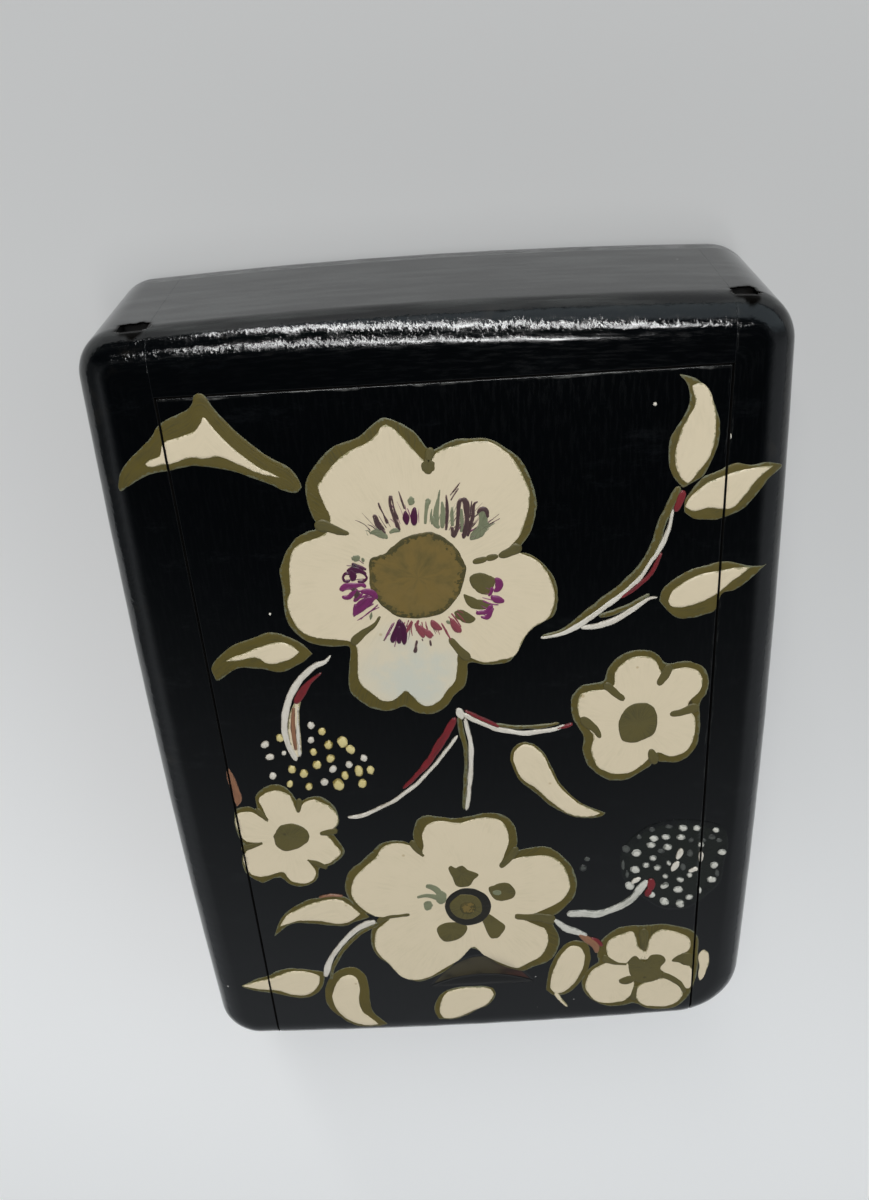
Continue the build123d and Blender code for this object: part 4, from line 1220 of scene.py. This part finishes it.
# The leaves: each outline starts at one tip, and far is the place of its other tip.
leaves = {
    "groove_leaf": {
        "ground": ([(118, 487), (121, 471), (134, 454), (150, 438), (157, 427), (169, 418), (186, 410),
                    (192, 403), (194, 395), (203, 394), (214, 408), (237, 432), (264, 453), (287, 466),
                    (297, 476), (302, 487), (296, 493), (284, 491), (260, 481), (234, 472), (211, 468),
                    (191, 467), (171, 471), (151, 475), (129, 486), (121, 492)], 15),
        "cream": ([(145, 464), (149, 460), (160, 455), (163, 443), (180, 436), (194, 431), (200, 424),
                   (204, 417), (214, 429), (231, 446), (254, 464), (269, 472), (281, 478), (260, 474),
                   (237, 464), (220, 457), (203, 459), (191, 458), (171, 464), (150, 467)], 12)},
    "upright_leaf": {
        "ground": ([(679, 374), (690, 376), (700, 381), (710, 393), (719, 415), (720, 435), (717, 450),
                    (705, 473), (697, 480), (683, 488), (674, 478), (669, 466), (668, 450), (670, 438),
                    (684, 415), (690, 400), (688, 385)], 9),
        "cream": ([(692, 385), (703, 383), (711, 393), (715, 407), (717, 420), (715, 440), (710, 457),
                   (700, 470), (688, 484), (680, 477), (675, 463), (675, 450), (680, 433), (688, 417),
                   (695, 403)], 8)},
    "upper_board_leaf": {
        "ground": ([(782, 464), (781, 468), (770, 478), (752, 500), (742, 510), (722, 518), (710, 520),
                    (695, 519), (684, 512), (686, 497), (702, 478), (712, 473), (735, 463), (750, 465),
                    (765, 462)], 8),
        "cream": ([(774, 465), (758, 479), (741, 500), (730, 509), (707, 508), (694, 511), (685, 507),
                   (690, 497), (703, 485), (717, 478), (740, 470), (760, 467)], 6)},
    "lower_board_leaf": {
        "ground": ([(768, 563), (760, 570), (747, 582), (735, 590), (722, 594), (716, 610), (705, 615),
                    (692, 618), (675, 617), (659, 601), (662, 590), (672, 580), (685, 572), (700, 566),
                    (725, 561), (745, 565), (760, 566)], 9),
        "cream": ([(751, 567), (741, 575), (730, 583), (717, 594), (700, 603), (680, 608), (671, 606),
                   (668, 600), (673, 590), (687, 580), (703, 573), (720, 570), (737, 567)], 7)},
    "left_leaf": {
        "ground": ([(211, 669), (214, 662), (229, 648), (254, 637), (272, 632), (288, 636), (302, 644),
                    (313, 654), (300, 664), (280, 672), (258, 669), (238, 669), (219, 680), (214, 676)], 7),
        "cream": ([(224, 662), (233, 657), (258, 648), (271, 643), (281, 642), (292, 646), (300, 652),
                   (291, 659), (280, 663), (267, 663), (256, 658), (240, 660)], 6)},
    "comma_leaf": {
        "ground": ([(510, 760), (512, 749), (521, 742), (532, 743), (544, 752), (552, 767), (561, 784),
                    (580, 802), (606, 813), (597, 818), (574, 817), (552, 807), (534, 792), (519, 780)], 8),
        "cream": ([(513, 760), (515, 750), (523, 744), (532, 745), (543, 754), (550, 768), (559, 785),
                   (577, 802), (601, 813), (590, 817), (571, 815), (552, 803), (535, 788), (521, 778)], 8)},
    "long_leaf": {
        "ground": ([(274, 937), (282, 917), (294, 907), (307, 900), (320, 897), (334, 896), (346, 897),
                    (357, 906), (370, 917), (355, 922), (345, 926), (322, 925), (300, 923), (288, 926)], 8),
        "cream": ([(279, 927), (287, 916), (298, 909), (309, 904), (320, 901), (330, 899), (340, 899),
                   (346, 902), (361, 914), (350, 921), (338, 924), (320, 921), (303, 921), (290, 923)], 8)},
    "low_board_leaf": {
        "ground": ([(242, 987), (247, 983), (258, 978), (269, 975), (277, 971), (289, 968), (300, 969),
                    (313, 970), (325, 972), (324, 984), (318, 993), (308, 998), (291, 997), (274, 993),
                    (256, 991)], 8),
        "cream": ([(241, 986), (249, 983), (265, 979), (277, 976), (286, 972), (298, 971), (310, 972),
                   (320, 976), (319, 985), (313, 992), (304, 996), (290, 994), (276, 990), (258, 989)], 7)},
    "low_leaf": {
        "ground": ([(325, 990), (328, 981), (333, 974), (342, 968), (354, 967), (364, 973), (369, 985),
                    (370, 1000), (374, 1013), (388, 1024), (370, 1027), (352, 1024), (336, 1014),
                    (327, 1003)], 9),
        "cream": ([(332, 996), (336, 984), (342, 976), (350, 974), (357, 978), (360, 988), (359, 999),
                   (363, 1011), (379, 1024), (363, 1025), (349, 1020), (337, 1010)], 8)},
    "notch_leaf": {
        "ground": ([(439, 1019), (434, 1009), (438, 998), (446, 990), (459, 987), (472, 986), (485, 986),
                    (493, 988), (496, 995), (489, 1004), (478, 1010), (467, 1015), (455, 1019)], 7),
        "cream": ([(444, 1018), (440, 1013), (440, 1004), (447, 992), (459, 988), (472, 987), (484, 987),
                   (491, 989), (494, 995), (488, 1003), (478, 1009), (466, 1014), (454, 1018)], 7)},
    "slim_leaf": {
        "ground": ([(546, 990), (549, 970), (557, 953), (567, 943), (578, 940), (588, 944), (591, 958),
                    (587, 972), (577, 986), (566, 994), (555, 996)], 6),
        "cream": ([(550, 988), (552, 973), (560, 956), (570, 946), (580, 947), (585, 955), (583, 968),
                   (575, 982), (565, 991), (556, 993)], 5)},
}
for leafNumber, (leafName, leaf) in enumerate(leaves.items()):
    for coatName, paint, lift in (("ground", "olive", "ground"), ("cream", "cream", "body")):
        outline, farTip = leaf[coatName]
        layPaint(f"{leafName}_{coatName}", paint, [leafFilm(outline, farTip, coats[lift], 600 + leafNumber)])
print("leaves painted")

# The stems, by paint.
stems = {
    "olive": [
        [(680, 486, 7), (672, 501, 9), (662, 522, 9), (655, 545, 9), (642, 567, 9), (625, 585, 9),
         (605, 600, 8), (585, 615, 7), (565, 630, 5), (541, 637, 4)],
        [(598, 616, 4), (618, 611, 6), (636, 602, 5), (650, 594, 3)],
        [(462, 714, 5), (480, 720, 4), (505, 726, 4), (535, 727, 4), (560, 723, 3)],
        [(459, 716, 5), (461, 730, 6), (465, 745, 5), (466, 765, 4), (465, 785, 4), (464, 810, 4)],
        [(379, 923, 5), (362, 932, 4), (350, 942, 4), (340, 955, 4), (333, 968, 4), (331, 980, 3)]],
    "cream": [
        [(299, 698, 5), (295, 712, 9), (294, 730, 12), (296, 745, 11), (299, 757, 8)],
        [(555, 992, 5), (560, 999, 4), (568, 1007, 2)]],
    "white": [
        [(673, 508, 4), (668, 530, 5), (660, 548, 5), (650, 562, 5), (640, 577, 5), (625, 591, 5),
         (603, 608, 6), (580, 624, 6), (560, 634, 5), (540, 638, 4)],
        [(580, 628, 4), (600, 625, 6), (622, 616, 6), (640, 604, 5), (650, 598, 3), (658, 597, 2)],
        [(462, 713, 5), (480, 722, 5), (500, 729, 5), (525, 733, 5), (550, 730, 4), (573, 724, 3)],
        [(458, 735, 3), (445, 752, 4), (430, 770, 4), (415, 785, 4), (395, 800, 4), (373, 811, 4),
         (360, 816, 4), (347, 817, 2)],
        [(465, 717, 4), (470, 740, 5), (471, 760, 5), (470, 782, 5), (466, 811, 4)],
        [(457, 708, 6), (460, 713, 9), (463, 719, 6)],
        [(331, 655, 2), (325, 662, 4), (315, 666, 6), (302, 677, 7), (294, 689, 7), (288, 702, 7),
         (285, 716, 7), (285, 732, 7), (289, 746, 6), (297, 761, 6)],
        [(298, 705, 2), (298, 722, 3), (298, 738, 4), (300, 757, 5)],
        [(376, 921, 4), (366, 924, 5), (356, 930, 6), (347, 938, 6), (339, 947, 6), (332, 956, 6),
         (328, 966, 6), (326, 977, 6)],
        [(682, 848, 5), (680, 853, 7), (676, 859, 4)], [(679, 861, 4), (675, 866, 7), (671, 871, 4)],
        [(701, 851, 4), (701, 856, 6), (700, 862, 3)], [(688, 871, 3), (692, 870, 4), (698, 868, 5)],
        [(631, 883, 4), (636, 880, 6), (641, 878, 3)]],
    "ash": [
        [(566, 914, 6), (580, 913, 7), (596, 914, 7), (610, 910, 6), (622, 905, 7), (632, 898, 7),
         (640, 889, 8), (648, 880, 5)],
        [(553, 919, 3), (560, 924, 6), (568, 929, 7), (577, 932, 6), (588, 935, 3)]],
    "darkRed": [
        [(684, 490, 8), (680, 500, 8), (675, 512, 6)],
        [(662, 552, 3), (652, 571, 5), (640, 584, 5), (620, 598, 3)],
        [(464, 710, 4), (485, 720, 4), (500, 727, 5)], [(556, 728, 2), (566, 726, 4), (573, 723, 3)],
        [(456, 717, 6), (448, 731, 8), (438, 746, 8), (425, 766, 6), (402, 789, 3)],
        [(322, 672, 2), (310, 682, 5), (302, 692, 9), (295, 704, 6)],
        [(590, 938, 3), (597, 941, 5), (603, 946, 3)]],
    "rust": [
        [(294, 706, 3), (293, 722, 5), (294, 736, 5), (296, 751, 3)],
        [(578, 934, 3), (587, 939, 7), (595, 945, 8), (597, 953, 4)], [(344, 896, 2), (330, 895, 3), (318, 897, 2)]],
}
stemNames = {"darkRed": "red"}
for paint, paths in stems.items():
    layPaint("stems_" + stemNames.get(paint, paint), paint, strokes(paths, coats[paint], 700))
layPaint("stem_tip", "darkRed", blobs([oval(651, 884, 4.5, 6), oval(648, 892, 3.5, 5, 30)], coats["darkRed"] + 0.03, 740))
boardSliver = [(229, 768), (235, 777), (239, 789), (242, 800), (237, 807), (233, 799), (229, 784), (226, 773)]
layPaint("left_bud", "rust", [leafFilm(boardSliver, 4, coats["body"], 750)])

# The two sprays of dots: x, y, half width, and half height where it differs.
sprays = {
    "white": [
        (265, 744.5, 4.0), (270, 757, 3.9), (284, 753, 2.4), (273, 776, 3.8), (311, 725.5, 3.8),
        (311, 740, 3.4), (333, 769, 3.9), (349, 764.5, 3.6), (324.5, 782, 3.9), (364, 758, 3.6),
        (655, 404, 2.0), (730, 436, 1.6, 3.2), (270, 614, 1.3)],
    "gold": [
        (280, 738, 4.2), (322, 731.5, 4.0), (328.5, 745, 4.5), (342.5, 742, 5.6), (350.5, 749.5, 4.6),
        (313.5, 752, 3.7), (330.5, 758.5, 4.4), (317, 765, 4.5), (292, 769.5, 4.1), (304, 773.5, 4.4),
        (359, 771, 5.0), (370.5, 770, 4.2), (345, 775.5, 4.2), (338.5, 784.5, 6.0), (362.5, 783.5, 4.6),
        (309, 786.5, 3.8), (290, 784, 3.6)],
    "right": [
        (683, 828, 5, 3.2), (697, 828, 4.2, 3), (716, 830, 3.8, 2.7), (654, 838.5, 4.9, 3.1),
        (666, 837, 5, 3), (681, 837, 5, 3.1), (651, 845, 5, 3.2), (667.5, 847, 5, 3.4), (701, 844.5, 3.6, 3.1),
        (636.5, 853, 5.2, 3.9), (722, 852, 4.7, 3), (653, 858, 4.4, 3), (668.5, 863, 2.6, 2.6),
        (714, 865, 5.1, 3.1), (646, 865, 4.2, 2.9), (657.5, 867.5, 3.9, 3.1), (635, 869.5, 5.4, 3.8),
        (689.5, 875, 3.1, 2.5), (665.5, 876, 3.4, 2.4), (680, 879.5, 4.2, 2.8), (711.5, 879.5, 5.1, 3.2),
        (629.5, 885.5, 5.2, 4.4), (664.5, 885.5, 4.5, 3.4), (678, 889.5, 5.4, 3.5), (699.5, 890, 2.4, 3.4),
        (651.5, 895, 3.7, 3.1), (689, 897, 4.2, 2.8), (664.5, 901.5, 5.4, 3.9), (680, 903.5, 5.4, 3.7)],
    "faint": [
        (652, 829.5, 3.2, 2.6), (639, 837, 2.6), (626, 849, 4.2, 3.6), (669, 826.5, 4, 2), (691, 840, 3, 2.4),
        (712, 837, 4.2, 2.6), (719, 840, 3, 2.2), (661, 851, 4, 2.4), (690, 853, 3, 4), (683, 867, 3, 3.4),
        (704, 840, 2.4, 2), (717, 873, 2.2, 4), (587, 859, 3, 2.4), (583, 868, 4, 3.4), (623, 865, 1.8, 5),
        (627, 874, 1.8, 4)],
}
sprayWash = [(622, 850), (634, 835), (652, 824), (676, 819), (702, 820), (722, 826), (728, 842), (724, 862),
             (720, 882), (704, 897), (686, 908), (664, 909), (644, 898), (626, 884), (620, 866)]
layPaint("right_spray_wash", "wash", blobs([sprayWash], coats["wash"], 760))
layPaint("left_spray_white", "white", [dotFilm(sprays["white"], coats["dab"])])
layPaint("left_spray_gold", "gold", [dotFilm(sprays["gold"], coats["dab"])])
layPaint("right_spray", "ash", [dotFilm([(x, y, 0.95 * wide, high) for x, y, wide, high in sprays["right"]],
                                       coats["dab"])])
layPaint("faint_dots", "faint", [dotFilm(sprays["faint"], coats["body"])])
print("stems and sprays painted")


# ---- floor, light and world ----

# Painted light and shade on the floor: its colour is darker near the box and lighter far off, tilted by turn so that
# the lower right is darker, and the far part glows for the camera alone.
floorSetup = {"size": 3.0, "below": 0.00002,   # a hair under the box, so that the two don't lie in one plane
              "near": (0.50, 0.50, 0.495, 1), "far": (0.90, 0.905, 0.905, 1),
              "nearY": 0.10, "farY": -0.14, "turn": 0.3, "nearPaintedLight": 0.04, "farPaintedLight": 0.09}    # glow is for the camera only
floorMesh = bpy.data.meshes.new("floor")
half = floorSetup["size"]
floorMesh.from_pydata([(x, y, -floorSetup["below"]) for x, y in ((-half, -half), (half, -half), (half, half), (-half, half))],
                      [], [(0, 1, 2, 3)])
floor = bpy.data.objects.new("floor", floorMesh)
bpy.context.scene.collection.objects.link(floor)
material, tree, shader = newMaterial("paleFloor")
floorPlace = addNode(tree, "ShaderNodeTexCoord").outputs["Object"]
floorY = addNode(tree, "ShaderNodeSeparateXYZ", {0: floorPlace}).outputs
# painted shade: turn leans the near-to-far change so that the lower right comes out darker
floorY = mathNode(tree, "ADD", floorY[1], mathNode(tree, "MULTIPLY", floorY[0], floorSetup["turn"]))
share = ramp(tree, floorY, floorSetup["nearY"], floorSetup["farY"])
# painted light: a glow that grows away from the box, seen by the camera only
paintedGlow = ramp(tree, floorY, floorSetup["nearY"], floorSetup["farY"], floorSetup["nearPaintedLight"], floorSetup["farPaintedLight"])
seen = addNode(tree, "ShaderNodeLightPath").outputs["Is Camera Ray"]
feed(tree, shader, {"Base Color": mixColours(tree, share, floorSetup["near"], floorSetup["far"]), "Roughness": 0.7,
                    "Emission Color": (1, 1, 1, 1), "Emission Strength": mathNode(tree, "MULTIPLY", paintedGlow, seen)})
floorMesh.materials.append(material)

lamps = {
    # two long strips, each between two points in metres, its width, and its radiance
    "outerStrip": {"from": (-0.25, 1.11, 0.12), "to": (0.21, 0.30, 0.85), "width": 0.055, "radiance": 25},
    "innerStrip": {"from": (-0.224, 0.605, 0.628), "to": (0.109, -0.119, 0.886), "width": 0.035, "radiance": 26},
}
for lampName, lamp in lamps.items():
    start, finish = Vector(lamp["from"]), Vector(lamp["to"])
    along = (finish - start).normalized()
    away = (start + finish) / 2                   # the lamp's back turns away from the box
    away = (away - along * away.dot(along)).normalized()
    light = bpy.data.lights.new(lampName, "AREA")
    light.shape = "RECTANGLE"
    light.size, light.size_y = (finish - start).length, lamp["width"]
    light.energy = lamp["radiance"] * np.pi * light.size * light.size_y
    holder = bpy.data.objects.new(lampName, light)
    holder.location = (start + finish) / 2
    holder.rotation_mode = "QUATERNION"
    holder.rotation_quaternion = Matrix((along, away.cross(along), away)).transposed().to_quaternion()
    bpy.context.scene.collection.objects.link(holder)

# Pale walls round the horizon and a dark ceiling; the camera sees the walls' plain grey.
studio = {"wall": (0.37, 0.39, 0.41, 1), "window": (0.64, 0.745, 0.81, 1), "ceiling": (0.004, 0.004, 0.005, 1), "shown": (0.70, 0.70, 0.70, 1),
          "wallTop": 0.60, "ceilingEdge": 0.90,      # sines of elevations
          "wallEnd": 0.5, "wallStart": -0.3}         # the wall fades out from -Y towards +Y
world = bpy.data.worlds.new("studio")
world.use_nodes = True
bpy.context.scene.world = world
tree = world.node_tree
way = addNode(tree, "ShaderNodeTexCoord").outputs["Generated"]
way = addNode(tree, "ShaderNodeSeparateXYZ", {0: way}).outputs
share = mathNode(tree, "MAXIMUM", ramp(tree, way[2], studio["wallTop"], studio["ceilingEdge"]),
                 ramp(tree, way[1], studio["wallStart"], studio["wallEnd"]))
share = mathNode(tree, "MAXIMUM", share, ramp(tree, way[0], -0.62, -0.95, 0.0, 0.75))
room = mixColours(tree, share, studio["wall"], studio["ceiling"])
# a dim window past the closed end, below the outer strip
window = mathNode(tree, "MULTIPLY", ramp(tree, way[1], 0.0, 0.35), ramp(tree, way[2], -0.02, 0.06))
window = mathNode(tree, "MULTIPLY", window, ramp(tree, way[2], 0.80, 0.64))
aside = mathNode(tree, "SUBTRACT", way[2], mathNode(tree, "MULTIPLY", way[0], 2.0))
window = mathNode(tree, "MULTIPLY", window, ramp(tree, aside, 0.65, 0.35))
room = mixColours(tree, window, room, studio["window"])
seen = addNode(tree, "ShaderNodeLightPath").outputs["Is Camera Ray"]
tree.links.new(mixColours(tree, seen, room, studio["shown"]), tree.nodes["Background"].inputs["Color"])

bpy.context.scene.view_settings.view_transform = "Standard"
print("floor, lamps and world set")
